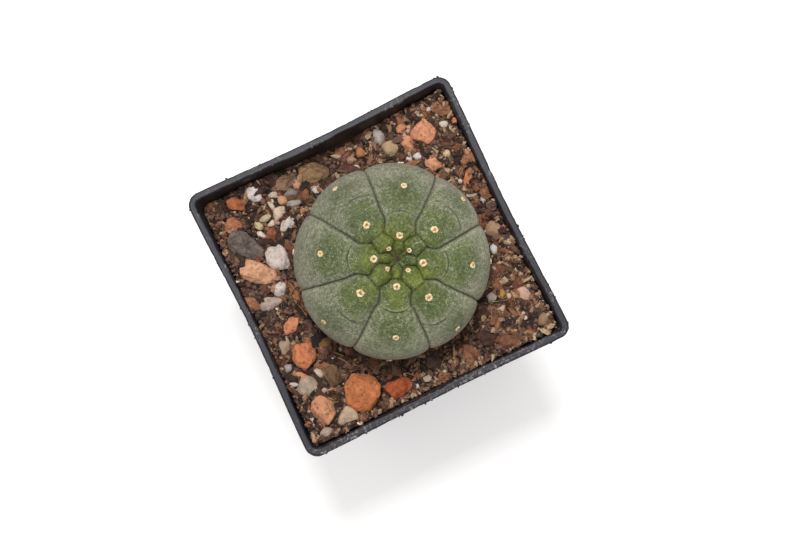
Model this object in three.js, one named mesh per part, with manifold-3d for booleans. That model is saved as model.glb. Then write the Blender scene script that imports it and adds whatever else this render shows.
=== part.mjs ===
// Potted matucana: a flattened globe cactus with eight broad ribs, growing in a square
// nursery pot that is filled with gritty potting mix and topped with loose stones.
// Millimetres, +Z up, origin at the centre of the pot's foot.

import * as THREE from 'three';
import { mergeVertices } from 'three/addons/utils/BufferGeometryUtils.js';
import Module from 'manifold-3d';

const wasm = await Module();
wasm.setup();

// ---------------------------------------------------------------- driving dimensions

const GAP = 0.4; // clearance left between pieces that touch

// Pot: thin-walled, square, tapered, with a stacking collar and a flat rim.
const POT_HEIGHT = 75;
const RIM_HALF = 40; // half the width over the rim
const RIM_WIDTH = 2.0; // width of the rim's flat top
const RIM_THICK = 1.3;
const WALL = 1.0;
const COLLAR_DEPTH = 9; // from the rim's top to the collar's step
const COLLAR_STEP = 1.2;
const FOOT_HALF = 29.5;
const FOOT_RING = 4; // width of the flat ring that the pot stands on
const FLOOR_RECESS = 1.6; // how far the floor's underside is raised above that ring
const RIM_CORNER = 3.6;
const FOOT_CORNER = 5.6;
const EDGE = 0.3; // bevel of the rim's edges
const SIDE_BOW = [0.6, 0.8, 0.75, 0.3]; // how far each rim side is pressed in: +X, +Y, -X, -Y
const DRAIN_RADIUS = 3.2;
const DRAIN_OFFSET = 14; // the four outer drain holes, from the axis
const SIDE_STEPS = 5;
const CORNER_STEPS = 5;

// Potting mix.
const SOIL_LEVEL = 67.8;
const SOIL_STEP = 3.5; // spacing of the surface grid
// Broad hollows and mounds of the surface: x, y, spread, height.
const SOIL_FORMS = [
  [-7, 38, 8, -4.0],
  [7, 38, 8, -4.5],
  [20, 39, 8, -2.5],
  [-37, 36, 7, -3.5],
  [2, -33, 8, -3.0],
  [-12, -36, 6, -1.2],
  [33, -32, 8, 1.8],
  [-33, 4, 10, 0.8],
  [33, 22, 10, 0.6],
];
const ROUGHNESS = 0.5; // height of the surface's crumbs
// How high the mix is banked against each wall, +X, +Y, -X and -Y, and how far the banks reach.
const BANKS = [3.2, 1.0, 5.0, 4.2];
const BANK_REACH = 2;
const BANK_LINE = 37; // where the banks are at their full height, from the middle
const SLIVER = 0.05; // slivers up to this wide are smoothed away where seats cut the surface
// Small grit, fused to the surface: x, y, length, width, turn of the long axis in degrees.
const GRIT = [
  [-17.5, 31.0, 3.0, 2.0, 155],
  [-16.0, 28.5, 3.0, 2.5, 140],
  [-13.0, 29.5, 3.5, 2.5, 175],
  [-13.5, 26.5, 4.0, 2.0, 165],
  [-10.5, 30.5, 2.5, 2.0, 155],
  [-19.5, 28.5, 3.0, 1.5, 105],
  [-22.5, 26.0, 3.0, 2.0, 5],
  [-21.5, 24.0, 2.5, 1.5, 15],
  [-25.0, 25.0, 3.0, 2.0, 120],
  [-25.5, 22.5, 2.5, 1.5, 125],
  [-6.5, 27.0, 2.0, 1.5, 125],
  [-32.5, -18.0, 4.5, 2.0, 140],
  [-28.0, -19.5, 3.0, 2.5, 115],
  [-35.0, -14.5, 3.0, 2.0, 45],
  [-35.5, -19.0, 2.5, 1.5, 145],
  [-28.5, -24.0, 2.0, 2.0, 65],
  [-22.5, -12.5, 3.5, 2.5, 155],
  [-33.0, -35.0, 3.5, 2.5, 175],
  [25.0, 31.5, 2.0, 1.5, 155],
  [32.0, 33.5, 1.5, 1.5, 155],
  [34.0, 28.0, 2.5, 2.0, 155],
  [31.0, 20.0, 2.0, 2.0, 20],
  [29.5, 33.0, 2.5, 1.0, 155],
  [21.0, 23.5, 2.0, 1.5, 155],
  [23.5, 23.0, 3.0, 2.0, 155],
  [9.5, 31.0, 3.0, 2.5, 65],
  [6.5, 30.5, 3.0, 2.0, 135],
  [6.0, 28.0, 3.5, 1.5, 165],
  [31.0, 11.5, 1.5, 1.5, 155],
  [32.5, 6.5, 3.5, 1.5, 165],
  [34.5, 4.0, 3.0, 1.5, 65],
  [33.0, -0.5, 2.5, 2.0, 155],
  [31.0, -9.5, 3.0, 2.0, 65],
  [31.0, -14.0, 2.5, 1.5, 155],
  [27.5, -22.0, 3.0, 1.5, 65],
  [29.0, -23.5, 2.0, 1.5, 85],
  [25.5, -25.5, 2.5, 2.0, 5],
  [34.5, -33.5, 4.0, 3.0, 65],
];

// Cactus: body, crown and root.
const BODY_RADIUS = 26.2;
const BODY_RISE = 19.5; // from the widest level up to the crown
const BODY_DROP = 21; // half-height of the lower part, if it were a full ellipse
const WIDEST_ABOVE_SOIL = 11;
const CROWN_DIP = 1.6;
const CROWN_DIP_RADIUS = 5;
const CROWN_SHIFT = [0.3, 0.6]; // of the growing point, off the body's axis, in x and y
const CROWN_SHIFT_WHORL = 2.5; // where that shift has faded out
const BODY_FOOT = [3.2, 0.3]; // where the axis leaves the soil, in x and y
const BODY_LEAN = THREE.MathUtils.degToRad(6.6);
const LEAN_TOWARDS = THREE.MathUtils.degToRad(-64);
const RIBS = 8;
const FIRST_RIB = THREE.MathUtils.degToRad(-30);
const ROOT_TOP_RADIUS = 7;
const ROOT_TIP_RADIUS = 1.8;
const ROOT_CROWN_DEPTH = 9; // below the soil line
const ROOT_LENGTH = 27;
// Angle from the crown, in degrees, at which each whorl of tubercles has its lower edge.
const WHORL_ANGLES = [5.5, 10.7, 18.6, 29.5, 47.6, 66, 86, 104, 121, 138];
const MOST_SWING = 0.37; // of the furrows near the crown, in ribs
const CROWN_SWING = 0.16; // more of it, inside the first whorl
// How far each furrow lies from an even spacing, low down, in ribs.
const FURROW_DRIFT = [0.1, -0.01, -0.02, -0.06, -0.015, 0.04, 0.105, 0.035];
// Bulge of the ribs between their furrows, as a share of their width: in the crown, on the
// shoulder and at the sides.
const BULGE = [0.095, 0.06, 0.03];
const BULGE_POWER = 2.1;
const SLIT_DEPTH = [0.7, 0.8]; // of the furrows, in the crown and low down
const SLIT_WIDTH = 0.7;
// The crease under each tubercle, and the swelling just above it.
const CREASE_DEPTH = 0.75;
const CREASE_WIDTH = 0.6;
const SWELLING = 0.35; // as a share of the crease's depth
const SWELLING_REACH = 1.6;
const WHORL_PITCH = [3.6, 7.5]; // skin between two whorls, in the crown and lower down
// How far the creases' ends lie towards the crown, in whorls: in the crown, and lower down.
const ARCH = [-0.1, 0.2];
const AREOLE_RADIUS = 1.1;
const AREOLE_WHORLS = 8;
// Place of each whorl's areoles off the whorl itself: the first number is for all the lower whorls.
const AREOLE_SHIFTS = [0.05, -0.4, -0.5, -0.15];
const SMOOTH_WHORL = 5; // from here down the creases are too faint to need rows of their own
// The plain hole that the plant stands in.
const HOLE_GAP = 0.7; // from the crests of the ribs
const HOLE_SIDES = 30;
const HOLE_TOP_WHORL = 5;

// Stones: node, x, y, length, width, turn of the long axis in degrees, seed.
const STONES = [
  ['brick_chip_01', -32.0, 13.5, 10.0, 6.5, 322, 12],
  ['brick_chip_02', -29.5, -13.5, 7.5, 7.0, 35, 51],
  ['brick_chip_03', -31.0, -29.5, 8.5, 6.5, 110, 47],
  ['brick_chip_04', -18.5, -29.0, 10.5, 10.0, 125, 20],
  ['brick_chip_05', -10.0, -33.0, 7.0, 5.5, 5, 12],
  ['brick_chip_06', -29.0, -4.0, 5.5, 4.0, 35, 15],
  ['brick_chip_07', 28.0, 28.5, 6.5, 6.0, 35, 31],
  ['brick_chip_08', 22.5, 27.5, 4.5, 3.5, 100, 9],
  ['brick_chip_09', 22.5, 32.0, 3.5, 3.0, 15, 2],
  ['brick_chip_10', 26.5, 19.0, 5.0, 3.5, 130, 11],
  ['brick_chip_11', 33.5, 11.5, 5.0, 3.0, 50, 14],
  ['brick_chip_12', -28.0, 33.5, 5.5, 4.5, 155, 18],
  ['brick_chip_13', -31.5, 28.5, 5.0, 4.0, 175, 21],
  ['pumice_01', -24.0, 14.5, 7.5, 5.5, 95, 30],
  ['pumice_02', -27.5, 6.5, 4.0, 3.5, 35, 10],
  ['pumice_03', -32.0, 4.0, 7.5, 3.5, 175, 13],
  ['pumice_04', -22.5, 33.5, 5.0, 3.5, 95, 16],
  ['pumice_05', 16.0, 33.0, 4.5, 3.5, 65, 19],
  ['pumice_06', -17.5, 22.0, 5.0, 3.0, 15, 22],
  ['gravel_01', -26.0, -34.0, 6.0, 5.5, 70, 54],
  ['gravel_02', -32.5, -21.5, 6.0, 5.5, 5, 43],
  ['gravel_03', -33.5, -8.5, 5.5, 3.5, 45, 25],
  ['gravel_04', -18.5, 25.5, 4.5, 3.0, 25, 26],
  ['gravel_05', 33.0, -24.5, 5.0, 3.0, 115, 27],
  ['gravel_06', 33.5, -4.5, 4.5, 4.0, 5, 24],
  ['gravel_07', -1.5, -34.0, 4.0, 2.5, 165, 29],
  ['gravel_08', 24.5, -21.5, 3.5, 3.0, 35, 30],
  ['gravel_09', 17.5, 28.5, 4.5, 4.0, 110, 31],
  ['slate_01', -31.0, 22.0, 9.5, 7.5, 135, 48],
  ['bark_chip_01', -24.0, 1.5, 11.0, 2.5, 91, 33],
  ['bark_chip_02', -4.5, 31.5, 10.5, 5.5, 160, 34],
  ['bark_chip_03', -14.0, 33.0, 7.5, 4.0, 180, 35],
  ['bark_chip_04', 2.0, -30.5, 7.5, 4.5, 165, 36],
  ['bark_chip_05', -24.5, -21.5, 8.0, 5.5, 85, 37],
  ['bark_chip_06', 16.0, -34.0, 5.0, 3.0, 170, 38],
  ['bark_chip_07', -23.5, 21.0, 5.5, 3.0, 30, 39],
];
// How each kind is shaped: flattening, how sharp its faces are, how deep they cut, and how far it
// stands out.
const KINDS = {
  brick_chip: { flat: 0.75, sharp: 24, cut: [0.56, 0.86], rise: 0.2, colour: '#c8825c' },
  pumice: { flat: 0.8, sharp: 8, cut: [0.72, 0.96], rise: 0.25, colour: '#cdbdb2' },
  gravel: { flat: 0.7, sharp: 14, cut: [0.64, 0.92], rise: 0.2, colour: '#c0a48a' },
  slate: { flat: 0.5, sharp: 20, cut: [0.6, 0.9], rise: 0.15, colour: '#6a5d5d' },
  bark_chip: { flat: 0.42, sharp: 14, cut: [0.62, 0.92], rise: 0.1, colour: '#6e5443' },
};
const STONE_FACES = 10; // chipped faces of a stone
const MEAN_REACH = 0.82; // how far the chipped faces leave a stone of unit size, on average
const LARGE_STONE = 9; // length from which a stone gets a finer mesh
const GRIT_RISE = 0.25; // how far the small grit stands out, as a share of its width
const MOST_TILT = 0.16; // radians that a stone may lie out of level
const SLOPE_SHARE = 1.3; // how much wider a seat is, so that sloping faces keep the gap as well

// ---------------------------------------------------------------- numbers and solids

// A repeatable number from 0 to 1 for a pair of numbers.
function hash(a, b) {
  const v = Math.sin(a * 127.1 + b * 311.7) * 43758.5453;
  return v - Math.floor(v);
}

function mix(a, b, t) {
  return a + (b - a) * t;
}

function smoothStep(low, high, v) {
  const t = Math.min(1, Math.max(0, (v - low) / (high - low)));
  return t * t * (3 - 2 * t);
}

function toSolid(geometry, matrix) {
  const bare = new THREE.BufferGeometry();
  bare.setAttribute('position', geometry.getAttribute('position').clone());
  if (geometry.index) bare.setIndex(geometry.index.clone());
  if (matrix) bare.applyMatrix4(matrix);
  const merged = mergeVertices(bare, 1e-4);
  return new wasm.Manifold(
    new wasm.Mesh({
      numProp: 3,
      vertProperties: new Float32Array(merged.getAttribute('position').array),
      triVerts: new Uint32Array(merged.index.array),
    }),
  );
}

function toGeometry(solid) {
  const made = solid.getMesh();
  const geometry = new THREE.BufferGeometry();
  geometry.setAttribute('position', new THREE.BufferAttribute(new Float32Array(made.vertProperties), 3));
  geometry.setIndex(new THREE.BufferAttribute(new Uint32Array(made.triVerts), 1));
  geometry.computeVertexNormals();
  return geometry;
}

// Closed surface through rings of equal length, with a fan on a centre point at both ends.
function loft(rings, firstCentre, lastCentre) {
  const count = rings[0].length;
  const positions = rings.flat().concat([firstCentre, lastCentre]).flat();
  const first = rings.length * count;
  const faces = [];
  for (let i = 0; i < count; i++) {
    const next = (i + 1) % count;
    const top = (rings.length - 1) * count;
    faces.push(first, next, i);
    faces.push(first + 1, top + i, top + next);
    for (let ring = 0; ring < rings.length - 1; ring++) {
      const a = ring * count;
      const b = a + count;
      faces.push(a + i, a + next, b + next, a + i, b + next, b + i);
    }
  }
  const geometry = new THREE.BufferGeometry();
  geometry.setAttribute('position', new THREE.Float32BufferAttribute(positions, 3));
  geometry.setIndex(faces);
  return geometry;
}

function named(name, geometry, colour, roughness) {
  const material = new THREE.MeshStandardMaterial({ color: colour, roughness, metalness: 0 });
  const mesh = new THREE.Mesh(geometry, material);
  mesh.name = name;
  return mesh;
}

// ---------------------------------------------------------------- pot

// One level of the pot: a rounded square whose sides are pressed in near the rim.
function squareRing(half, corner, z) {
  const bowShare = smoothStep(0.3, 1, z / POT_HEIGHT);
  const points = [];
  for (let side = 0; side < 4; side++) {
    const turn = (side * Math.PI) / 2;
    const place = (out, along) => [
      out * Math.cos(turn) - along * Math.sin(turn),
      out * Math.sin(turn) + along * Math.cos(turn),
      z,
    ];
    for (let i = 0; i < SIDE_STEPS; i++) {
      const t = (2 * i) / SIDE_STEPS - 1;
      const bow = bowShare * SIDE_BOW[side] * (1 - t * t) ** 2;
      points.push(place(half - bow, t * (half - corner)));
    }
    for (let i = 0; i < CORNER_STEPS; i++) {
      const angle = (i / CORNER_STEPS) * (Math.PI / 2);
      const centre = half - corner;
      points.push(place(centre + corner * Math.cos(angle), centre + corner * Math.sin(angle)));
    }
  }
  return points;
}

// Outer half-width of the tapered wall at a height.
function wallHalf(z) {
  const stepLevel = POT_HEIGHT - COLLAR_DEPTH;
  const topHalf = RIM_HALF - RIM_WIDTH + WALL;
  const collar = smoothStep(stepLevel - COLLAR_STEP, stepLevel, z) * COLLAR_STEP;
  return mix(FOOT_HALF, topHalf - COLLAR_STEP, z / POT_HEIGHT) + collar;
}

function cornerAt(z) {
  return mix(FOOT_CORNER, RIM_CORNER, z / POT_HEIGHT);
}

// The space inside the walls, from the floor up, kept `inset` away from them.
function insideRings(inset, levels) {
  return levels.map((z) => squareRing(wallHalf(z) - WALL - inset, cornerAt(z) - WALL - inset, z));
}

const FLOOR_TOP = FLOOR_RECESS + 1.2;
const STEP_LEVEL = POT_HEIGHT - COLLAR_DEPTH;

function makePot() {
  const under = POT_HEIGHT - RIM_THICK;
  const footInner = FOOT_HALF - FOOT_RING;
  const outerLevels = [EDGE * 2, STEP_LEVEL - COLLAR_STEP, STEP_LEVEL, under];
  const innerLevels = [STEP_LEVEL, STEP_LEVEL - COLLAR_STEP, FLOOR_TOP + 1];
  const rings = [
    squareRing(footInner - 0.6, FOOT_CORNER - FOOT_RING, FLOOR_RECESS),
    squareRing(footInner, FOOT_CORNER - FOOT_RING, 0),
    squareRing(FOOT_HALF - EDGE * 2, FOOT_CORNER, 0),
    ...outerLevels.map((z) => squareRing(wallHalf(z), cornerAt(z), z)),
    squareRing(RIM_HALF - EDGE, RIM_CORNER, under),
    squareRing(RIM_HALF, RIM_CORNER, under + EDGE),
    squareRing(RIM_HALF, RIM_CORNER, POT_HEIGHT - EDGE),
    squareRing(RIM_HALF - EDGE, RIM_CORNER, POT_HEIGHT),
    squareRing(RIM_HALF - RIM_WIDTH + EDGE, RIM_CORNER - RIM_WIDTH, POT_HEIGHT),
    squareRing(RIM_HALF - RIM_WIDTH, RIM_CORNER - RIM_WIDTH, POT_HEIGHT - EDGE),
    ...insideRings(0, innerLevels),
    squareRing(wallHalf(FLOOR_TOP) - WALL - 1, FOOT_CORNER - WALL, FLOOR_TOP),
  ];
  let pot = toSolid(loft(rings, [0, 0, FLOOR_RECESS], [0, 0, FLOOR_TOP]));
  const hole = new THREE.CylinderGeometry(DRAIN_RADIUS, DRAIN_RADIUS, FLOOR_TOP * 2, 16);
  for (const [x, y] of [[0, 0], [1, 1], [-1, 1], [-1, -1], [1, -1]]) {
    const place = new THREE.Matrix4()
      .makeTranslation(x * DRAIN_OFFSET, y * DRAIN_OFFSET, FLOOR_TOP)
      .multiply(new THREE.Matrix4().makeRotationX(Math.PI / 2));
    pot = pot.subtract(toSolid(hole, place));
  }
  return named('pot', toGeometry(pot), '#3c3a40', 0.5);
}

// ---------------------------------------------------------------- cactus

// Moves points from the cactus's own upright frame, with its soil line at z = 0, into the pot.
function plantMatrix() {
  const axis = new THREE.Vector3(-Math.sin(LEAN_TOWARDS), Math.cos(LEAN_TOWARDS), 0);
  return new THREE.Matrix4()
    .makeTranslation(BODY_FOOT[0], BODY_FOOT[1], SOIL_LEVEL)
    .multiply(new THREE.Matrix4().makeRotationAxis(axis, BODY_LEAN));
}

// Angle from the crown, in degrees, at a whorl coordinate: whole numbers are the tubercles' lower edges.
function whorlAngle(k) {
  if (k <= 0) return WHORL_ANGLES[0] * Math.max(0, 1 + k);
  const n = Math.min(WHORL_ANGLES.length - 2, Math.floor(k));
  return mix(WHORL_ANGLES[n], WHORL_ANGLES[n + 1], k - n);
}

// Smooth outline of the body without its relief: radius and height above the soil line.
function bodyOutline(degrees) {
  const u = THREE.MathUtils.degToRad(degrees);
  const radius = BODY_RADIUS * Math.sin(u);
  const rise = Math.cos(u) > 0 ? BODY_RISE * Math.cos(u) ** 0.92 : BODY_DROP * Math.cos(u);
  const dip = degrees < 90 ? CROWN_DIP * Math.exp(-((radius / CROWN_DIP_RADIUS) ** 2)) : 0;
  return [radius, WIDEST_ABOVE_SOIL + rise - dip];
}

// How far the furrows swing from side to side: strongly near the crown, hardly at all lower down.
function swing(k) {
  return MOST_SWING * (1 - smoothStep(1.8, 3.4, k)) + CROWN_SWING * (1 - smoothStep(0, 1, k));
}

// +1 at even whorls and -1 at odd ones, straight in between.
function zigzag(k) {
  return 1 - 2 * Math.abs(k - 2 * Math.round(k / 2));
}

// Place of the furrow after rib j, in ribs.
function furrow(j, k) {
  const drift = FURROW_DRIFT[(j + RIBS) % RIBS] * smoothStep(2, 5, k);
  return j + 0.5 + (j % 2 === 0 ? 0.5 : -0.5) * swing(k) * zigzag(k) + drift;
}

// Height of the skin over the smooth outline, in mm: s runs across rib j from 0 to 1, k down it.
function relief(j, s, k, radius, fade) {
  const width = (furrow(j, k) - furrow(j - 1, k)) * ((2 * Math.PI) / RIBS) * radius;
  const toFurrow = Math.min(s, 1 - s) * width;
  const shoulder = mix(BULGE[0], BULGE[1], smoothStep(2, 4, k));
  const share = mix(shoulder, BULGE[2], smoothStep(4, 6, k));
  const bulge = share * width * (1 - Math.abs(2 * s - 1) ** BULGE_POWER);
  const slit = mix(...SLIT_DEPTH, smoothStep(1, 5, k)) * Math.exp(-((toFurrow / SLIT_WIDTH) ** 2));
  // The lower edge of each tubercle is a shallow crease, arched towards the crown at its ends.
  const parity = j % 2 === 0 ? 1 : 0;
  const arched = k + mix(...ARCH, smoothStep(2, 3, k)) * (2 * s - 1) ** 2;
  const nearest = 2 * Math.round((arched - parity) / 2) + parity;
  const toCrease = (arched - nearest) * (nearest < 3 ? WHORL_PITCH[0] : WHORL_PITCH[1]);
  const depth = CREASE_DEPTH * (1 - smoothStep(1.5, 5, nearest));
  const crease = depth * Math.exp(-((toCrease / CREASE_WIDTH) ** 2));
  const above = Math.abs(toCrease + SWELLING_REACH) / SWELLING_REACH;
  return fade * (bulge - slit - crease + SWELLING * depth * Math.exp(-above));
}

// A point of the skin, in the plant's own frame.
function skinPoint(j, s, k) {
  const degrees = whorlAngle(k);
  const [radius, z] = bodyOutline(degrees);
  const [radiusNext, zNext] = bodyOutline(degrees + 0.5);
  const slope = new THREE.Vector2(radiusNext - radius, zNext - z).normalize();
  const fade = smoothStep(-0.9, 0.3, k) * (1 - smoothStep(7.5, 9, k));
  const lift = relief(j, s, k, radius, fade);
  const ring = mix(furrow(j - 1, k), furrow(j, k), s);
  const angle = FIRST_RIB + (ring * 2 * Math.PI) / RIBS;
  const out = radius - slope.y * lift;
  const shift = 1 - smoothStep(0, CROWN_SHIFT_WHORL, k);
  return [
    out * Math.cos(angle) + CROWN_SHIFT[0] * shift,
    out * Math.sin(angle) + CROWN_SHIFT[1] * shift,
    z + slope.x * lift,
  ];
}

function skinRing(k) {
  const across = [0, 0.06, 0.24, 0.5, 0.76, 0.94];
  const points = [];
  for (let j = 0; j < RIBS; j++) for (const s of across) points.push(skinPoint(j, s, k));
  return points;
}

// Root levels: radius and height, from the body's underside to the tip of the taproot.
function rootLevels() {
  const [radius, z] = bodyOutline(whorlAngle(WHORL_ANGLES.length - 1));
  return [
    [mix(radius, ROOT_TOP_RADIUS, 0.45), z - 1.2],
    [ROOT_TOP_RADIUS, -ROOT_CROWN_DEPTH],
    [mix(ROOT_TOP_RADIUS, ROOT_TIP_RADIUS, 0.6), -mix(ROOT_CROWN_DEPTH, ROOT_LENGTH, 0.45)],
    [ROOT_TIP_RADIUS, -ROOT_LENGTH],
  ];
}

function roundRing(radius, z) {
  return skinRing(WHORL_ANGLES.length - 1).map(([x, y]) => {
    const share = radius / Math.hypot(x, y);
    return [x * share, y * share, z];
  });
}

function makeBody() {
  const levels = [-0.5];
  for (let k = 0; k < WHORL_ANGLES.length - 1; k++) {
    if (k < SMOOTH_WHORL) levels.push(k, k + 0.14, k + 0.5, k + 0.84);
    else levels.push(k, k + 0.5);
  }
  levels.push(WHORL_ANGLES.length - 1);
  const skin = levels.map(skinRing).reverse();
  const roots = rootLevels().map(([radius, z]) => roundRing(radius, z)).reverse();
  const tip = [0, 0, -ROOT_LENGTH - 1];
  const crown = [...CROWN_SHIFT, bodyOutline(0)[1]];
  return toSolid(loft([...roots, ...skin], tip, crown));
}

// Felt pads of the areoles: one on each tubercle, high on the young ones and in the middle of the old ones.
function areolePlaces() {
  const places = [];
  for (let whorl = 1; whorl < AREOLE_WHORLS; whorl++) {
    const shift = AREOLE_SHIFTS[whorl] ?? AREOLE_SHIFTS[0];
    for (let j = whorl % 2; j < RIBS; j += 2) {
      const s = 0.5 + 0.06 * (hash(j, whorl) - 0.5);
      const k = whorl + shift + 0.12 * (hash(whorl, j + 9) - 0.5);
      const centre = new THREE.Vector3(...skinPoint(j, s, k));
      const across = new THREE.Vector3(...skinPoint(j, s + 0.1, k)).sub(centre);
      const down = new THREE.Vector3(...skinPoint(j, s, k + 0.1)).sub(centre);
      const normal = down.cross(across).normalize();
      places.push({ centre, normal, radius: whorl < 2 ? AREOLE_RADIUS * 0.7 : AREOLE_RADIUS });
    }
  }
  return places;
}

function makeCactus() {
  let body = makeBody();
  const pad = new THREE.SphereGeometry(1, 7, 4).rotateX(Math.PI / 2);
  for (const { centre, normal, radius } of areolePlaces()) {
    const facing = new THREE.Quaternion().setFromUnitVectors(new THREE.Vector3(0, 0, 1), normal);
    const size = new THREE.Vector3(radius, radius, radius * 0.42);
    body = body.add(toSolid(pad, new THREE.Matrix4().compose(centre, facing, size)));
  }
  const mesh = named('cactus', toGeometry(body), '#767a62', 0.62);
  mesh.applyMatrix4(plantMatrix());
  return mesh;
}

// What the soil leaves free for the plant: the outline over its ribs, from the root's tip to above
// the widest level, moved outwards.
function plantSpace() {
  const outline = rootLevels().reverse();
  for (let k = WHORL_ANGLES.length - 1; k >= HOLE_TOP_WHORL; k -= 1) {
    const [x, y, z] = skinPoint(0, 0.5, k);
    outline.push([Math.hypot(x, y), z]);
  }
  const profile = outline.map(([radius, z], i) => {
    const [lowRadius, low] = outline[Math.max(0, i - 1)];
    const [highRadius, high] = outline[Math.min(outline.length - 1, i + 1)];
    const away = new THREE.Vector2(high - low, lowRadius - highRadius).setLength(HOLE_GAP);
    return new THREE.Vector2(radius, z).add(away);
  });
  profile.unshift(new THREE.Vector2(0, -ROOT_LENGTH - 1 - GAP));
  profile.push(new THREE.Vector2(0, profile.at(-1).y));
  const geometry = new THREE.LatheGeometry(profile, HOLE_SIDES).rotateX(Math.PI / 2);
  return toSolid(geometry, plantMatrix());
}

// ---------------------------------------------------------------- soil and stones

// Smooth noise from -1 to 1 on a square lattice of the given size.
function groundNoise(x, y, size, seed) {
  const cellX = Math.floor(x / size);
  const cellY = Math.floor(y / size);
  const tx = smoothStep(0, 1, x / size - cellX);
  const ty = smoothStep(0, 1, y / size - cellY);
  const corner = (i, j) => hash(cellX + i + seed, cellY + j - seed) * 2 - 1;
  return mix(mix(corner(0, 0), corner(1, 0), tx), mix(corner(0, 1), corner(1, 1), tx), ty);
}

// Height of the soil's broad surface.
function soilHeight(x, y) {
  let z = SOIL_LEVEL + 0.55 * groundNoise(x, y, 9, 5);
  for (const [fx, fy, spread, height] of SOIL_FORMS) {
    z += height * Math.exp(-((x - fx) ** 2 + (y - fy) ** 2) / (spread * spread));
  }
  return z;
}

function bankHeight(x, y) {
  const shares = [x, y, -x, -y].map((out) => Math.exp(-Math.max(0, BANK_LINE - out) / BANK_REACH));
  return Math.max(...shares.map((share, side) => BANKS[side] * share));
}

// A block under the rough surface, wider than the pot.
function soilBlock() {
  const reach = RIM_HALF;
  const steps = Math.ceil((2 * reach) / SOIL_STEP);
  const at = (i) => -reach + (2 * reach * i) / steps;
  const columns = steps + 1;
  const positions = [];
  for (const top of [true, false]) {
    for (let i = 0; i < columns; i++) {
      for (let j = 0; j < columns; j++) {
        const rough = ROUGHNESS * groundNoise(at(i), at(j), 3, 11) + bankHeight(at(i), at(j));
        positions.push(at(i), at(j), top ? soilHeight(at(i), at(j)) + rough : 0);
      }
    }
  }
  const faces = [];
  const lower = columns * columns;
  const quad = (a, b, c, d) => faces.push(a, b, c, a, c, d);
  for (let i = 0; i < steps; i++) {
    for (let j = 0; j < steps; j++) {
      const a = i * columns + j;
      quad(a, a + columns, a + columns + 1, a + 1);
      quad(lower + a, lower + a + 1, lower + a + columns + 1, lower + a + columns);
    }
    const last = steps * columns;
    quad(i, i + 1, lower + i + 1, lower + i);
    quad(last + i + 1, last + i, lower + last + i, lower + last + i + 1);
    const row = i * columns;
    quad(row + columns, row, lower + row, lower + row + columns);
    quad(row + steps, row + columns + steps, lower + row + columns + steps, lower + row + steps);
  }
  const geometry = new THREE.BufferGeometry();
  geometry.setAttribute('position', new THREE.Float32BufferAttribute(positions, 3));
  geometry.setIndex(faces);
  return toSolid(geometry);
}

// Reach of a chipped stone of unit size in a direction: a ball cut by flat faces, with softened edges.
function stoneReach(direction, seed, kind) {
  let sum = 1;
  for (let i = 0; i < STONE_FACES; i++) {
    const up = 1 - (2 * (i + 0.5)) / STONE_FACES;
    const around = i * 2.39996 + seed + 0.9 * hash(seed, i);
    const flat = Math.sqrt(1 - up * up);
    const face = new THREE.Vector3(flat * Math.cos(around), flat * Math.sin(around), up);
    const facing = direction.dot(face);
    const cut = mix(kind.cut[0], kind.cut[1], hash(seed + 40, i));
    sum += Math.max(0, facing / cut) ** kind.sharp;
  }
  return sum ** (-1 / kind.sharp);
}

function stoneGeometry(length, width, seed, kind) {
  const detail = length > LARGE_STONE ? 2 : 1;
  const geometry = new THREE.IcosahedronGeometry(1, detail);
  const position = geometry.getAttribute('position');
  const half = new THREE.Vector3(length / 2, width / 2, (width / 2) * kind.flat);
  const point = new THREE.Vector3();
  for (let i = 0; i < position.count; i++) {
    point.fromBufferAttribute(position, i).normalize();
    point.multiplyScalar(stoneReach(point, seed, kind) / MEAN_REACH).multiply(half);
    position.setXYZ(i, point.x, point.y, point.z);
  }
  return geometry;
}

function makeStones() {
  return STONES.map(([name, x, y, length, width, turn, seed]) => {
    const kind = KINDS[name.replace(/_\d+$/, '')];
    const mesh = named(name, stoneGeometry(length, width, seed, kind), kind.colour, 0.85);
    mesh.position.set(x, y, soilHeight(x, y) + kind.rise * width);
    const tilt = (n) => MOST_TILT * (2 * hash(seed, n) - 1);
    mesh.rotation.set(tilt(71), tilt(72), THREE.MathUtils.degToRad(turn), 'ZYX');
    return mesh;
  });
}

// The seat that a stone leaves in the soil: its own shape, grown by the gap and a little more
// where its faces slope.
function seatOf(stone) {
  stone.updateMatrixWorld();
  const box = new THREE.Box3().setFromBufferAttribute(stone.geometry.getAttribute('position'));
  const size = box.getSize(new THREE.Vector3());
  const grown = new THREE.Vector3(1, 1, 1).addScaledVector(
    new THREE.Vector3(1 / size.x, 1 / size.y, 1 / size.z),
    2 * GAP * SLOPE_SHARE,
  );
  return toSolid(stone.geometry, stone.matrixWorld.clone().scale(grown));
}

function addGrit(soil) {
  GRIT.forEach(([x, y, length, width, turn], n) => {
    const place = new THREE.Matrix4().makeRotationZ(THREE.MathUtils.degToRad(turn) + 0.4 * hash(n, 4));
    place.scale(new THREE.Vector3(length / 2, width / 2, width * 0.45));
    place.setPosition(x, y, soilHeight(x, y) + bankHeight(x, y) + GRIT_RISE * width);
    soil = soil.add(toSolid(new THREE.IcosahedronGeometry(1, 0), place));
  });
  return soil;
}

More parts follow.
